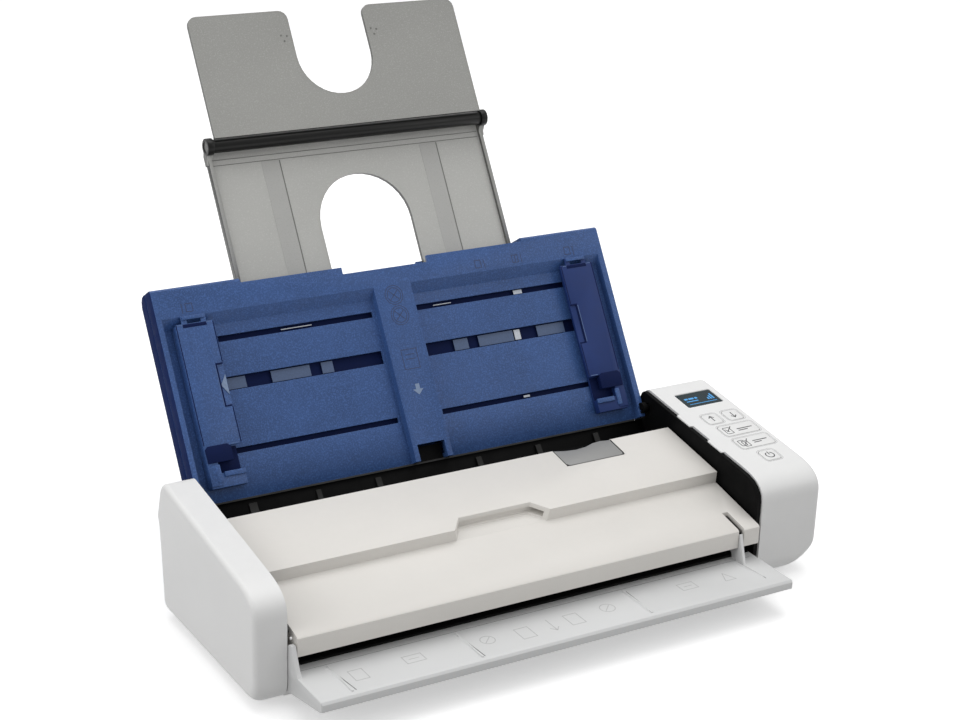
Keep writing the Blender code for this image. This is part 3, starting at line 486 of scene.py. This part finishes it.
def cap_body(x_in, x_out, r_bottom, r_edge, inset=0.0, fine=10):
    sign = 1 if x_out > x_in else -1
    depth = abs(x_out - x_in)
    rb, re = max(r_bottom - inset, 1.2), max(r_edge - inset, 0.6)
    base = cap_side()
    marks = {0.0}
    for i in range(1, fine + 1):
        c = 1 - math.cos(math.pi / 2 * i / fine)
        marks |= {rb * c, re * c}
    marks = sorted(m for m in marks)
    merged = [marks[0]]
    for m in marks[1:]:
        if m - merged[-1] > 0.04:
            merged.append(m)
    bottom = 1.6 + inset
    bm = bmesh.new()
    loops = []
    for t in [*merged, depth]:
        edge = re - math.sqrt(max(re * re - max(re - t, 0.0) ** 2, 0.0)) if t < re else 0.0
        rise = rb - math.sqrt(max(rb * rb - max(rb - t, 0.0) ** 2, 0.0)) if t < rb else 0.0
        lift = max(rise - edge, 0.0)
        ring = []
        for p in inward(base, inset + edge):
            z = p.y
            if z < bottom + 36.0:
                z += lift * (1 - (z - bottom) / 36.0) ** 1.6 if z > bottom else lift
            ring.append(bm.verts.new(at(x_in + sign * (depth - t), p.x, z)))
        loops.append(ring)
    n = len(base)
    for one, two in zip(loops, loops[1:], strict=False):
        for i in range(n):
            j = (i + 1) % n
            bm.faces.new((one[i], one[j], two[j], two[i]))
    bm.faces.new(loops[0])
    bm.faces.new(loops[-1])
    return bm


LCD = (135.0, 156.6, 73.2, 86.2)
BUTTONS = {
    "up_button": (134.9, 144.2, 55.2, 64.6),
    "down_button": (147.5, 156.8, 55.2, 64.6),
    "single_side_button": (136.2, 157.2, 42.6, 52.4),
    "double_side_button": (136.2, 157.2, 30.0, 39.9),
    "power_button": (141.2, 150.6, 16.9, 26.0),
}

left = as_object("left_end_cap_shell", cap_body(-121.6, -136.8, 6.5, 2.3), WHITE, 30)
carve(left, cap_body(-117.6, -134.8, 6.5, 2.3, 2.0, 4))
carve(left, prism(arc(3.3, 23.6, 2.9, 0, 352, 22), -127.0, -121.9, lambda u, v, t: at(t, u, v)), "UNION")
carve(left, prism(arc(2.0, 23.6, 1.3, 0, 345, 18), -123.0, -119.7, lambda u, v, t: at(t, u, v)), "UNION")
left.data.shade_smooth()
left.data.set_sharp_from_angle(angle=math.radians(30))
stand_for(left, "left_end_cap")

right = as_object("right_end_cap_shell", cap_body(126.2, 161.5, 15.0, 2.6), WHITE, 30)
carve(right, cap_body(122.2, 159.5, 15.0, 2.6, 2.0, 4))
for y0, y1 in ((58.0, 68.7), (32.0, 43.0)):
    tab = prism(
        [(126.6, y0 - 0.8), (126.6, y1 + 0.8), (124.4, y1), (124.4, y0)],
        0.05,
        0.75,
        on_panel,
    )
    carve(right, tab, "UNION")
for (x0, x1, y0, y1), r in [(LCD, 0.7), *((a, 1.9) for a in BUTTONS.values())]:
    carve(right, prism(rounded(x0, x1, y0, y1, r), -3.0, 4.6, on_panel))
    # soft lip round each opening
    ring = ribbon(rounded(x0, x1, y0, y1, r), 0.5, True, on_panel, -1.0, 0.16)
    carve(right, ring)
right.data.shade_smooth()
right.data.set_sharp_from_angle(angle=math.radians(28))
stand_for(right, "right_end_cap")


# ---------------------------------------------------------------- control panel
def lcd_finish():
    """Lit display: deep teal ground, bluer towards the middle, with a fine pixel grid."""
    m = Mat("lcd_glow")
    grid = m.node("ShaderNodeTexWave", wave_type="BANDS", bands_direction="X")
    grid.inputs["Scale"].default_value = 900.0
    m.link(m.coord.outputs["Object"], grid.inputs["Vector"])
    glow = m.noise(90.0, 2.0)
    tone = m.ramp(glow, 0.35, 0.65, (0.0035, 0.014, 0.018, 1), (0.006, 0.030, 0.040, 1))
    tone = m.mix(0.12, tone, grid.outputs["Color"], "MULTIPLY")
    m.link(tone, m.bsdf.inputs["Base Color"])
    m.link(m.maprange(glow, 0.10, 0.2), m.bsdf.inputs["Roughness"])
    m.bsdf.inputs["Specular IOR Level"].default_value = 0.25
    return m.mat


LCD_MAT = lcd_finish()
LIT = ink("lit_blue", (0.055, 0.30, 0.62), 0.35)
LIT.node_tree.nodes["Principled BSDF"].inputs["Emission Color"].default_value = (0.05, 0.32, 0.75, 1)
LIT.node_tree.nodes["Principled BSDF"].inputs["Emission Strength"].default_value = 0.35
window = as_object(
    "display_glass",
    prism(rounded(LCD[0] + 0.25, LCD[1] - 0.25, LCD[2] + 0.25, LCD[3] - 0.25, 0.5), 0.2, 1.4, on_panel),
    LCD_MAT,
    30,
)
soften(window, 0.12, 1)
stand_for(window, "display_window")
# generic status picture: two rows of bars, a level mark and a page outline
bm = bmesh.new()
for x0, x1, y0, y1 in (
    (137.6, 139.6, 80.2, 81.6),
    (140.1, 143.2, 80.2, 81.6),
    (143.8, 145.4, 80.2, 81.6),
    (137.6, 144.6, 78.2, 78.9),
    (150.4, 151.3, 77.6, 79.4),
    (151.9, 152.8, 77.6, 80.8),
    (153.4, 154.3, 77.6, 82.4),
    (137.6, 154.3, 75.6, 76.0),
):
    block((x0, y0, -0.17), (x1, y1, -0.205), lambda x, y, z: on_panel(x, y, -z), bm)
lit = as_object("display_bars", bm, LIT, 30)
detail(lit, "base", "display_window_finish")

for name, (x0, x1, y0, y1) in BUTTONS.items():
    cap = as_object(
        name + "_cap",
        prism(rounded(x0 + 0.32, x1 - 0.32, y0 + 0.32, y1 - 0.32, 1.6), -0.12, 3.2, on_panel),
        BUTTON,
        30,
    )
    soften(cap, 0.35, 3, smooth=30)
    stand_for(cap, name)


def mark(name, bm, mat, body, slot):
    return detail(as_object(name, bm, mat, 30), body, slot)


def panel_strokes(strokes, width, bm=None, closed=False):
    bm = bm or bmesh.new()
    for s in strokes:
        ribbon(s, width, closed, on_panel, -0.115, -0.15, bm)
    return bm


def outline_of(area, grow, r):
    x0, x1, y0, y1 = area
    return rounded(x0 - grow, x1 + grow, y0 - grow, y1 + grow, r)


# arrows: a stem along the panel and a two-stroke head
def arrow_strokes(cx, cy, way):
    return [
        [(cx, cy - 2.3), (cx, cy + 2.3)],
        [(cx - 1.5, cy + way * 0.7), (cx, cy + way * 2.4), (cx + 1.5, cy + way * 0.7)],
    ]


mark("up_arrow", panel_strokes(arrow_strokes(139.6, 59.9, 1), 0.55), INK, "up_key", "up_button_finish")
mark("down_arrow", panel_strokes(arrow_strokes(152.2, 59.9, -1), 0.55), INK, "down_key", "down_button_finish")

# one sheet with a pen stroke, and two sheets with one; plain bars stand beside them
bm = panel_strokes([rounded(138.2, 142.0, 44.6, 50.0, 0.5, 2)], 0.4, closed=True)
panel_strokes([[(139.2, 46.4), (143.6, 50.6)], [(138.9, 48.6), (140.4, 46.2)]], 0.45, bm)
panel_strokes([[(145.4, 47.4), (154.6, 47.4)], [(145.4, 45.9), (151.0, 45.9)]], 0.62, bm)
mark("one_side_icon", bm, INK, "single_side_key", "single_side_button_finish")
bm = panel_strokes([rounded(138.0, 141.2, 32.6, 37.4, 0.5, 2), rounded(139.6, 142.8, 31.6, 36.4, 0.5, 2)], 0.4, closed=True)
panel_strokes([[(140.2, 33.2), (144.2, 38.0)]], 0.45, bm)
panel_strokes([[(145.8, 35.2), (154.4, 35.2)], [(145.8, 33.7), (150.4, 33.7)]], 0.62, bm)
mark("two_side_icon", bm, INK, "double_side_key", "double_side_button_finish")

bm = panel_strokes([arc(145.9, 21.3, 2.2, 118, 422, 18)], 0.55)
panel_strokes([[(145.9, 21.6), (145.9, 24.2)]], 0.55, bm)
mark("power_icon", bm, INK, "power_key", "power_button_finish")

# hairline printed round each key
bm = bmesh.new()
for area in BUTTONS.values():
    ribbon(outline_of(area, 0.62, 2.3), 0.17, True, on_panel, 0.03, -0.012, bm)
mark("key_outlines", bm, LINE, "base", "right_end_cap_finish")


# ------------------------------------------------------------- cover and throat
cover = refine("top_cover", CREAM, 0.45, 3)
inner = refine("cover_inner_guide", BLACK, 0.2, 1)
latch = refine("release_latch", LATCH, 0.25, 2)
bm = ribbon(
    [(54.15, 72.9), (54.15, 61.3), (55.65, 59.35), (86.2, 59.35), (87.45, 60.9), (87.45, 72.6)],
    0.34,
    False,
    on_deck,
    -0.6,
    0.02,
)
mark("latch_gap", bm, ink("gap_shade", (0.03, 0.03, 0.03), 0.6), "cover", "top_cover_finish")
refine("lower_paper_guide", BLACK, 0.2, 1)
refine("left_side_frame", BLACK, 0.15, 1)
refine("right_side_frame", BLACK, 0.15, 1)
refine("bottom_pan", WHITE, 0.4, 2)
refine("rear_panel", WHITE, 0.25, 2)

# white tip at the top of the output tray's left arm
bm = prism(arc(-1.7, 32.7, 0.62, 0, 330, 11), -121.2, -120.4, lambda u, v, t: at(t, u, v))
peg = as_object("arm_tip", bm, WHITE, 35)
soften(peg, 0.2, 2)
detail(peg, "paper_catch", "output_tray_finish")

# ribs and joints on the black paper bed behind the cover
bm = bmesh.new()
for x0, x1 in ((-96.0, -92.0), (-62.0, -59.5), (-31.0, -28.0), (24.0, 27.0), (58.0, 61.0), (92.0, 95.0)):
    prism([(89.0, 43.0), (91.6, 43.9), (95.0, 48.6), (94.4, 48.9), (90.6, 44.6), (88.6, 43.6)], x0, x1, lambda u, v, t: at(t, u, v), bm)
mark("bed_ribs", bm, BAR_BLACK, "base", "lower_paper_guide_finish")

# ------------------------------------------------------------------ output tray
catch = refine("output_tray", CATCH, 0.3, 2)


def strokes_on(place, strokes, width, low, high, closed=False, bm=None):
    bm = bm or bmesh.new()
    for s in strokes:
        ribbon(s, width, closed, place, low, high, bm)
    return bm


# low guide ribs, each with a painted shade along one flank
RIBS = [[(-104.5, -28.2), (-106.6, -5.9)], [(-43.0, -28.1), (-44.0, -7.9)], [(43.9, -27.0), (44.6, -4.6)], [(110.7, -24.6), (109.0, -4.1)]]
bm = bmesh.new()
for (x0, y0), (x1, y1) in RIBS:
    dx = 0.75
    pts = [(x0 - dx, y0), (x0 + dx, y0), (x1 + dx * 1.2, y1), (x1 - dx * 1.2, y1)]
    low = [bm.verts.new(on_catch(x, y, -0.05)) for x, y in pts]
    ridge = [bm.verts.new(on_catch(x0, y0 + 2.5, 0.62)), bm.verts.new(on_catch(x1, y1 - 1.5, 0.72))]
    bm.faces.new((low[0], low[1], ridge[0]))
    bm.faces.new((low[1], low[2], ridge[1], ridge[0]))
    bm.faces.new((low[2], low[3], ridge[1]))
    bm.faces.new((low[3], low[0], ridge[0], ridge[1]))
    bm.faces.new(low)
mark("catch_ribs", bm, CATCH, "paper_catch", "output_tray_finish")
SHADE = ink("rib_shade", (0.17, 0.17, 0.17), 0.6)
bm = strokes_on(on_catch, [[(x0 + 0.95, y0 + 0.6), (x1 + 0.95, y1 - 1.0)] for (x0, y0), (x1, y1) in RIBS], 0.42, -0.05, 0.03)
mark("rib_shades", bm, SHADE, "paper_catch", "output_tray_finish")
bm = strokes_on(on_catch, [[(-118.0, -3.4), (118.5, -2.6)]], 0.22, -0.05, 0.025)
mark("catch_seam", bm, SHADE, "paper_catch", "output_tray_finish")


def page(cx, cy, w_, h_):
    return [(cx - w_, cy - h_), (cx + w_, cy - h_), (cx + w_, cy + h_), (cx - w_, cy + h_)]


closed = [
    page(-97.0, -17.0, 3.2, 4.2),
    page(-70.0, -15.5, 4.5, 3.0),
    page(-16.0, -18.0, 3.4, 4.6),
    page(10.0, -17.0, 3.4, 4.6),
    page(74.0, -14.0, 4.2, 3.0),
    [(-34.0 + 3.4 * math.cos(a * 0.4488), -16.0 + 3.4 * math.sin(a * 0.4488)) for a in range(14)],
    [(29.0 + 3.6 * math.cos(a * 0.4488), -15.0 + 3.6 * math.sin(a * 0.4488)) for a in range(14)],
]
opened = [
    [(-36.0, -18.0), (-32.0, -14.0)],
    [(27.0, -17.0), (31.0, -13.0)],
    [(-2.0, -12.0), (-2.0, -22.0)],
    [(-4.2, -19.6), (-2.0, -22.2), (0.2, -19.6)],
    [(93.0, -18.0), (96.0, -11.0), (99.0, -18.0), (93.0, -18.0)],
    [(-72.5, -15.5), (-67.5, -15.5)],
    [(71.8, -14.0), (76.4, -14.0)],
]
bm = strokes_on(on_catch, closed, 0.42, -0.05, 0.03, True)
strokes_on(on_catch, opened, 0.42, -0.05, 0.03, False, bm)
mark("catch_icons", bm, FAINT, "paper_catch", "output_tray_finish")

# ------------------------------------------------------------------- input tray
front = refine("input_tray_front", NAVY, 0.5, 3)
back = refine("input_tray_back", NAVY, 0.9, 3)
for shell in (front, back):
    # smoother, deeper blue end walls as painted shade; bearing bosses on the front shell painted black as painted shade
    shell.data.materials.append(NAVY_SIDE_SHADE)
    shell.data.materials.append(BLACK)
    for p in shell.data.polygons:
        x, y, z = (c * 1000 for c in p.center)
        dy, dz = y - SHIFT[1] - TRAY_Y, z - TRAY_Z
        off, s, x = dy * COS_T - dz * SIN_T, dy * SIN_T + dz * COS_T, x - SHIFT[0]
        # bearing bosses: black as painted shade
        if off < -0.05 and s < 9 and abs(x) > 118:
            p.material_index = 2
        # end walls: deeper blue as painted shade
        elif abs(p.normal.x) > 0.6 and (x < -120.5 or x > 121.3):
            p.material_index = 1
refine("left_paper_guide", NAVY, 0.35, 2)
# the right guide is the same plastic as the left, given a darker copy of its navy as painted shade
refine("right_paper_guide", NAVY_SHADE, 0.35, 2)
for node in ("left_guide_rack", "right_guide_rack"):
    refine(node, NAVY_DARK, 0.0)


def on_front(x, s, up=0.0):
    """Point in front of the tray's front plane."""
    return on_tray(x, -up, s)


def on_floor(x, s, up=0.0):
    """Point in front of the paper floor of the tray."""
    return on_tray(x, 4.5 - up, s)


# size ticks and little sheets on the top rim, round marks on the middle strip
ticks = [[(x, 87.6), (x, 92.4)] for x in (-107.95, 52.5, 74.0, 105.0)]
ticks += [[(x - 5.2, 88.4), (x - 5.2, 92.2), (x - 1.9, 92.2), (x - 1.9, 88.4), (x - 5.2, 88.4)] for x in (52.5, 74.0, 105.0)]
ticks += [[(x - 3.5, 88.4), (x - 3.5, 92.2)] for x in (74.0,)]
ticks += [[(x + 1.9, 88.4), (x + 1.9, 92.2), (x + 5.2, 92.2), (x + 5.2, 88.4), (x + 1.9, 88.4)] for x in (-107.95,)]
bm = strokes_on(on_front, ticks, 0.42, -0.05, 0.05)
rings = [arc(cx, cy, r, 0, 345, 23) for cx, cy in ((-0.5, 81.4), (0.1, 71.2)) for r in (3.6, 4.7)]
strokes_on(on_front, rings, 0.38, -0.05, 0.05, True, bm)
strokes_on(on_front, [[(-2.8, 79.2), (1.8, 83.6)], [(-2.8, 83.6), (1.8, 79.2)], [(-2.2, 69.0), (2.4, 73.4)], [(-2.2, 73.4), (2.4, 69.0)]], 0.42, -0.05, 0.05, False, bm)
strokes_on(on_front, [[(-4.2, 44.6), (4.0, 44.6), (4.0, 54.2), (-4.2, 54.2)]], 0.42, -0.05, 0.05, True, bm)
strokes_on(on_front, [[(-2.6, 51.6), (2.4, 51.6)], [(-2.6, 49.4), (2.4, 49.4)]], 0.42, -0.05, 0.05, False, bm)
mark("tray_marks", bm, EMBOSS, "input_tray", "input_tray_front_finish")
bm = prism([(-1.1, 37.0), (-1.1, 34.4), (-2.8, 34.4), (0.0, 31.6), (2.8, 34.4), (1.1, 34.4), (1.1, 37.0)], -0.05, 0.05, on_front)
mark("feed_arrow", bm, PALE_MARK, "input_tray", "input_tray_front_finish")

# black catch behind the notch at the tray's foot
bm = prism([(-7.3, 0.0), (6.6, 0.0), (6.6, 7.4), (-7.3, 7.4)], -4.6, -6.2, on_front)
mark("foot_catch", bm, BLACK, "input_tray", "input_tray_front_finish")

# runners and guide blocks seen through the long slots
bm = bmesh.new()
for x0, x1 in ((-96.0, -83.0), (-70.0, -50.0), (-44.0, -38.0), (28.0, 36.0), (42.0, 62.0), (76.0, 92.0)):
    block((x0, 50.4, 6.1), (x1, 55.8, 5.8), lambda x, s, off: on_tray(x, off, s), bm)
mark("slot_blocks", bm, ink("slot_blue", (0.075, 0.120, 0.230), 0.45), "input_tray", "input_tray_front_finish")
# painted highlights: small pale bars for light caught on the slots' lips
bm = bmesh.new()
for x0, x1, s0, s1 in ((62.6, 66.0, 50.6, 55.6), (68.0, 73.0, 73.4, 75.4), (59.0, 62.5, 21.4, 22.4), (-60.0, -44.0, 74.2, 74.6), (22.0, 32.0, 74.2, 74.6)):
    block((x0, s0, 5.75), (x1, s1, 5.6), lambda x, s, off: on_tray(x, off, s), bm)
mark("slot_glints", bm, ink("painted_glint", (0.62, 0.66, 0.72), 0.35), "input_tray", "input_tray_front_finish")

# dark inner wall behind the slots, so that no light comes through them
bm = bmesh.new()
for x0, x1 in ((-117.0, -8.6), (7.9, 117.0)):
    block((x0, 4.0, 7.2), (x1, 94.0, 7.05), lambda x, s, off: on_tray(x, off, s), bm)
mark("slot_backing", bm, NAVY_DARK, "input_tray", "input_tray_front_finish")
# soft strip under the tray's foot
bm = bmesh.new()
block((-118.0, -0.75, 5.2), (118.0, 0.05, 4.4), lambda x, s, off: on_tray(x, off, s), bm)
mark("foot_strip", bm, RUBBER, "input_tray", "input_tray_front_finish")

# --------------------------------------------------------------- paper guides
NAVY_HIGHLIGHT = moulded("navy_painted_highlight", (0.075, 0.135, 0.300), 0.35, grain=1500.0, bump=0.2, blotch=0.08, edge_highlight=0.0)


for m, side in ((-1, "left"), (1, "right")):
    body, slot = side + "_guide", side + "_paper_guide_finish"

    def on_guide(x, s, up=0.0, m=m):
        return on_tray(m * x, -1.0 - up, s)

    # dark opening under the header bar, dark pocket and step at the foot, in dark navy as painted shade
    bm = bmesh.new()
    prism([(98.2, 80.9), (109.8, 80.9), (109.8, 82.5), (98.2, 82.5)], -0.1, 0.14, on_guide, bm)
    prism([(96.6, 13.0), (107.9, 13.0), (107.9, 24.2), (96.6, 24.2)], -3.9, -3.6, on_guide, bm)
    prism([(100.4, 17.6), (112.9, 17.6), (113.1, 24.0), (111.6, 25.4), (102.0, 25.4), (100.4, 24.0)], -2.6, 0.5, on_guide, bm)
    obj = as_object(side + "_guide_pocket_painted_shade", bm, NAVY_DARK, 30)
    soften(obj, 0.25, 2)
    detail(obj, body, slot)
    # lighter ledges: header bar, foot step and the little bracket above it
    bm = bmesh.new()
    prism([(98.4, 84.5), (109.6, 84.5), (109.6, 86.3), (98.4, 86.3)], -0.1, 0.7, on_guide, bm)
    prism([(95.9, 10.6), (106.2, 10.6), (106.2, 13.0), (95.9, 13.0)], -0.6, 0.35, on_guide, bm)
    prism([(107.6, 8.2), (110.2, 8.2), (110.2, 16.6), (107.6, 16.6)], -0.6, 0.2, on_guide, bm)
    obj = as_object(side + "_guide_ledges", bm, NAVY, 30)
    soften(obj, 0.3, 2)
    detail(obj, body, slot)
    # painted shade round the finger recess and along the guide's long edges, and painted highlights on the edges that
    # catch the light
    bm = strokes_on(on_guide, [[(95.0, 62.2), (98.3, 62.2), (98.3, 42.3), (95.0, 42.3)]], 0.7, -0.5, 0.03)
    strokes_on(on_guide, [[(113.0, 26.0), (113.0, 82.4)]], 0.45, -0.1, 0.05, False, bm)
    strokes_on(on_guide, [[(95.0, 62.8), (95.0, 82.4)], [(95.0, 25.0), (95.0, 41.8)]], 0.45, -0.1, 0.05, False, bm)
    mark(side + "_guide_shades", bm, NAVY_DARK, body, slot)
    bm = strokes_on(on_guide, [[(96.2, 82.3), (112.4, 82.3)], [(98.9, 42.6), (98.9, 61.8)], [(96.0, 25.1), (100.0, 25.1)]], 0.35, -0.1, 0.04)
    mark(side + "_guide_glints", bm, NAVY_HIGHLIGHT, body, slot)
bm = prism([(-98.0, 52.2), (-94.9, 57.0), (-94.9, 47.4)], 0.25, 0.6, lambda x, s, up: on_tray(x, -up + 0.0, s))
mark("guide_arrow", bm, PALE_MARK, "left_guide", "left_paper_guide_finish")

# ---------------------------------------------------------------- paper support
EDGE = smoked("smoke_edge", (0.085, 0.085, 0.08), 0.96, 0.3)


def side_edges(obj):
    """The cut edges of a tinted sheet look darker than its faces."""
    obj.data.materials.append(EDGE)
    normal = Vector((0, COS_T, -SIN_T))
    for p in obj.data.polygons:
        if abs(p.normal.dot(normal)) < 0.6:
            p.material_index = 1


lower = refine("lower_extension_panel", SMOKE, 0.0)
side_edges(lower)
upper = refine("upper_extension_panel", SMOKE_UP, 0.0)
side_edges(upper)
BAND = smoked("smoke_band", (0.60, 0.60, 0.58), 0.55, 0.3)


def on_sheet(x, s, up=0.0):
    return on_tray(x, 9.3 - up, s)


bm = bmesh.new()
for x0, x1 in ((-48.0, -38.6), (38.4, 47.8)):
    prism([(x0, 67.0), (x1, 67.0), (x1, 157.4), (x0, 157.4)], 0.02, 0.10, on_sheet, bm)
mark("sheet_bands", bm, BAND, "lower_extension", "lower_extension_panel_finish")
CREASE = ink("crease_shade", (0.16, 0.16, 0.15), 0.45)
# painted shade: dark lines beside the bands for the shaded walls of the grooves, and two lines along the rim strip
bm = strokes_on(on_sheet, [[(-38.4, 67.0), (-38.4, 157.2)], [(48.0, 67.0), (48.0, 157.2)]], 0.5, 0.02, 0.14)
strokes_on(on_sheet, [[(-72.6, 157.7), (72.6, 157.7)], [(-72.6, 160.4), (72.6, 160.4)]], 0.3, 0.02, 0.14, False, bm)
mark("sheet_creases", bm, CREASE, "lower_extension", "lower_extension_panel_finish")
bm = bmesh.new()
for cx in (-24.5, 24.5):
    for dx, ds in ((-1.6, 1.4), (1.4, 0.9), (-0.4, -1.6)):
        prism(arc(cx + dx, 215.0 + ds, 0.5, 0, 330, 11), -0.15, 0.12, lambda x, s, up: on_tray(x, 0.2 - up, s), bm)
mark("grip_dots", bm, CREASE, "upper_extension", "upper_extension_panel_finish")
bar = refine("extension_hinge_bar", BAR_BLACK, 0.3, 2)
# black end rings that carry the bar
bm = bmesh.new()
for m in (-1, 1):
    x0, x1 = sorted((m * 73.0, m * 76.3))
    outer = arc(4.6, 166.0, 4.1, 0, 345, 23)
    hole = arc(4.6, 166.0, 2.5, 0, 345, 23)
    rows = []
    for pts, x in ((outer, x0), (outer, x1), (hole, x1), (hole, x0)):
        rows.append([bm.verts.new(on_tray(x, u, v)) for u, v in pts])
    for k in range(4):
        a, b = rows[k], rows[(k + 1) % 4]
        for i in range(24):
            j = (i + 1) % 24
            bm.faces.new((a[i], a[j], b[j], b[i]))
rings = as_object("bar_end_rings", bm, BAR_BLACK, 35)
soften(rings, 0.25, 2)
detail(rings, "lower_extension", "extension_hinge_bar_finish")

# ----------------------------------------------------------------- inner pieces
for node in ("feed_roller", "exit_roller_left", "exit_roller_right", "separation_roller"):
    refine(node, RUBBER, 0.3, 2)
for node in ("rubber_foot_front_left", "rubber_foot_front_right", "rubber_foot_rear_left", "rubber_foot_rear_right"):
    refine(node, RUBBER, 0.0)
for node in ("pinch_roller_left", "pinch_roller_right"):
    refine(node, GEAR, 0.3, 2)
for node in ("feed_gear", "idler_gear", "exit_gear", "motor_pinion", "guide_pinion"):
    refine(node, GEAR, 0.0)
for node in ("feed_roller_shaft", "exit_roller_shaft", "idler_pin", "cover_pin_left", "cover_pin_right", "drive_motor", "usb_port"):
    refine(node, STEEL, 0.15, 1)
for node in ("main_circuit_board", "panel_circuit_board"):
    refine(node, BOARD, 0.15, 1)
for node in ("lower_image_sensor", "upper_image_sensor", "display_module", "dc_power_jack", "tray_pin_left", "tray_pin_right"):
    refine(node, BLACK, 0.2, 1)
for node in ("lower_sensor_glass", "upper_sensor_glass"):
    refine(node, GLASS, 0.1, 1)


# ------------------------------------------------------- floor, light and camera
def floor_finish():
    m = Mat("floor_white")
    wide = m.noise(3.0, 3.0)
    m.link(m.ramp(wide, 0.3, 0.7, (0.955, 0.955, 0.96, 1), (0.975, 0.975, 0.975, 1)), m.bsdf.inputs["Base Color"])
    m.link(m.maprange(wide, 0.75, 0.85), m.bsdf.inputs["Roughness"])
    m.link(m.bump(m.noise(400.0, 2.0), 0.02, 0.0001), m.bsdf.inputs["Normal"])
    m.bsdf.inputs["Specular IOR Level"].default_value = 0.2
    m.bsdf.inputs["Emission Color"].default_value = (1.0, 1.0, 1.0, 1.0)
    m.bsdf.inputs["Emission Strength"].default_value = 0.30
    return m.mat


bm = bmesh.new()
# a sweep that rises far behind the object
steps = [(-2.5, 0.0), (2.6, 0.0)] + [(2.6 + 1.4 * math.sin(a), 1.4 - 1.4 * math.cos(a)) for a in (0.26, 0.52, 0.79, 1.05, 1.31, 1.57)] + [(4.0, 4.0)]
rows = [[bm.verts.new((x, y, z - 0.0002)) for x in (-5.0, 5.0)] for y, z in steps]
for a, b in zip(rows, rows[1:], strict=False):
    bm.faces.new((a[0], a[1], b[1], b[0]))
floor = as_object("floor", bm, floor_finish(), 60)
floor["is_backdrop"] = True
floor.visible_diffuse = False

world = bpy.context.scene.world or bpy.data.worlds.new("studio")
bpy.context.scene.world = world
world.use_nodes = True
world.node_tree.nodes["Background"].inputs["Color"].default_value = (1.0, 1.0, 1.0, 1)
tree = world.node_tree
direction = tree.nodes.new("ShaderNodeTexCoord")
split = tree.nodes.new("ShaderNodeSeparateXYZ")
tree.links.new(direction.outputs["Generated"], split.inputs["Vector"])
# a studio that is bright overhead and dim towards the ground
rise = tree.nodes.new("ShaderNodeMapRange")
rise.inputs["From Min"].default_value = -0.15
rise.inputs["From Max"].default_value = 0.75
rise.inputs["To Min"].default_value = 0.36
rise.inputs["To Max"].default_value = 0.68
tree.links.new(split.outputs["Z"], rise.inputs["Value"])
tree.links.new(rise.outputs["Result"], tree.nodes["Background"].inputs["Strength"])


def lamp(name, where, target, size, power, colour=(1, 1, 1)):
    data = bpy.data.lights.new(name, "AREA")
    data.shape = "RECTANGLE"
    data.size, data.size_y = size
    data.energy = power
    data.color = colour
    obj = link(bpy.data.objects.new(name, data))
    obj.location = where
    obj.rotation_euler = (Vector(target) - Vector(where)).to_track_quat("-Z", "Y").to_euler()
    return obj


lamp("top_soft", (0.15, 0.25, 1.5), (0, 0, 0.05), (1.4, 1.2), 9.5)
lamp("left_soft", (-1.4, -0.1, 0.6), (0, 0, 0.08), (0.9, 0.9), 4.6)
lamp("right_soft", (1.2, -0.9, 0.8), (0, 0, 0.06), (0.9, 0.9), 2.6)

RIGHT = Vector((0.8599440613244935, -0.5092894903370939, 0.03347277139584742))
UP = Vector((0.15237072280753844, 0.3187661952001544, 0.9355058928882947))
BACK = Vector((-0.48711330737708636, -0.7993824665514, 0.351721904274323))
PLACE = Vector((-0.4364138646633847 + SHIFT[0] / 1000, -0.6615549491921598 + SHIFT[1] / 1000, 0.4318770049569014))
data = bpy.data.cameras.new("camera")
data.sensor_width = 36.0
data.lens = 36.0 * 1988.927 / 960.0
data.shift_x = (480.0 - 479.72) / 960.0
data.shift_y = (359.85 - 360.0) / 960.0
data.clip_start, data.clip_end = 0.01, 50.0
camera = link(bpy.data.objects.new("camera", data))
turn = Matrix((RIGHT, UP, BACK)).transposed().to_4x4()
camera.matrix_world = Matrix.Translation(PLACE) @ turn
bpy.context.scene.camera = camera
bpy.context.scene.view_settings.view_transform = "Standard"
bpy.context.scene.view_settings.look = "None"

size_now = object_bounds()


def plain_list(v):
    try:
        return [plain_list(x) for x in v]
    except TypeError:
        return float(v)


{"frame": plain_list(SIZE_FRAME), "visual": plain_list(size_now)}
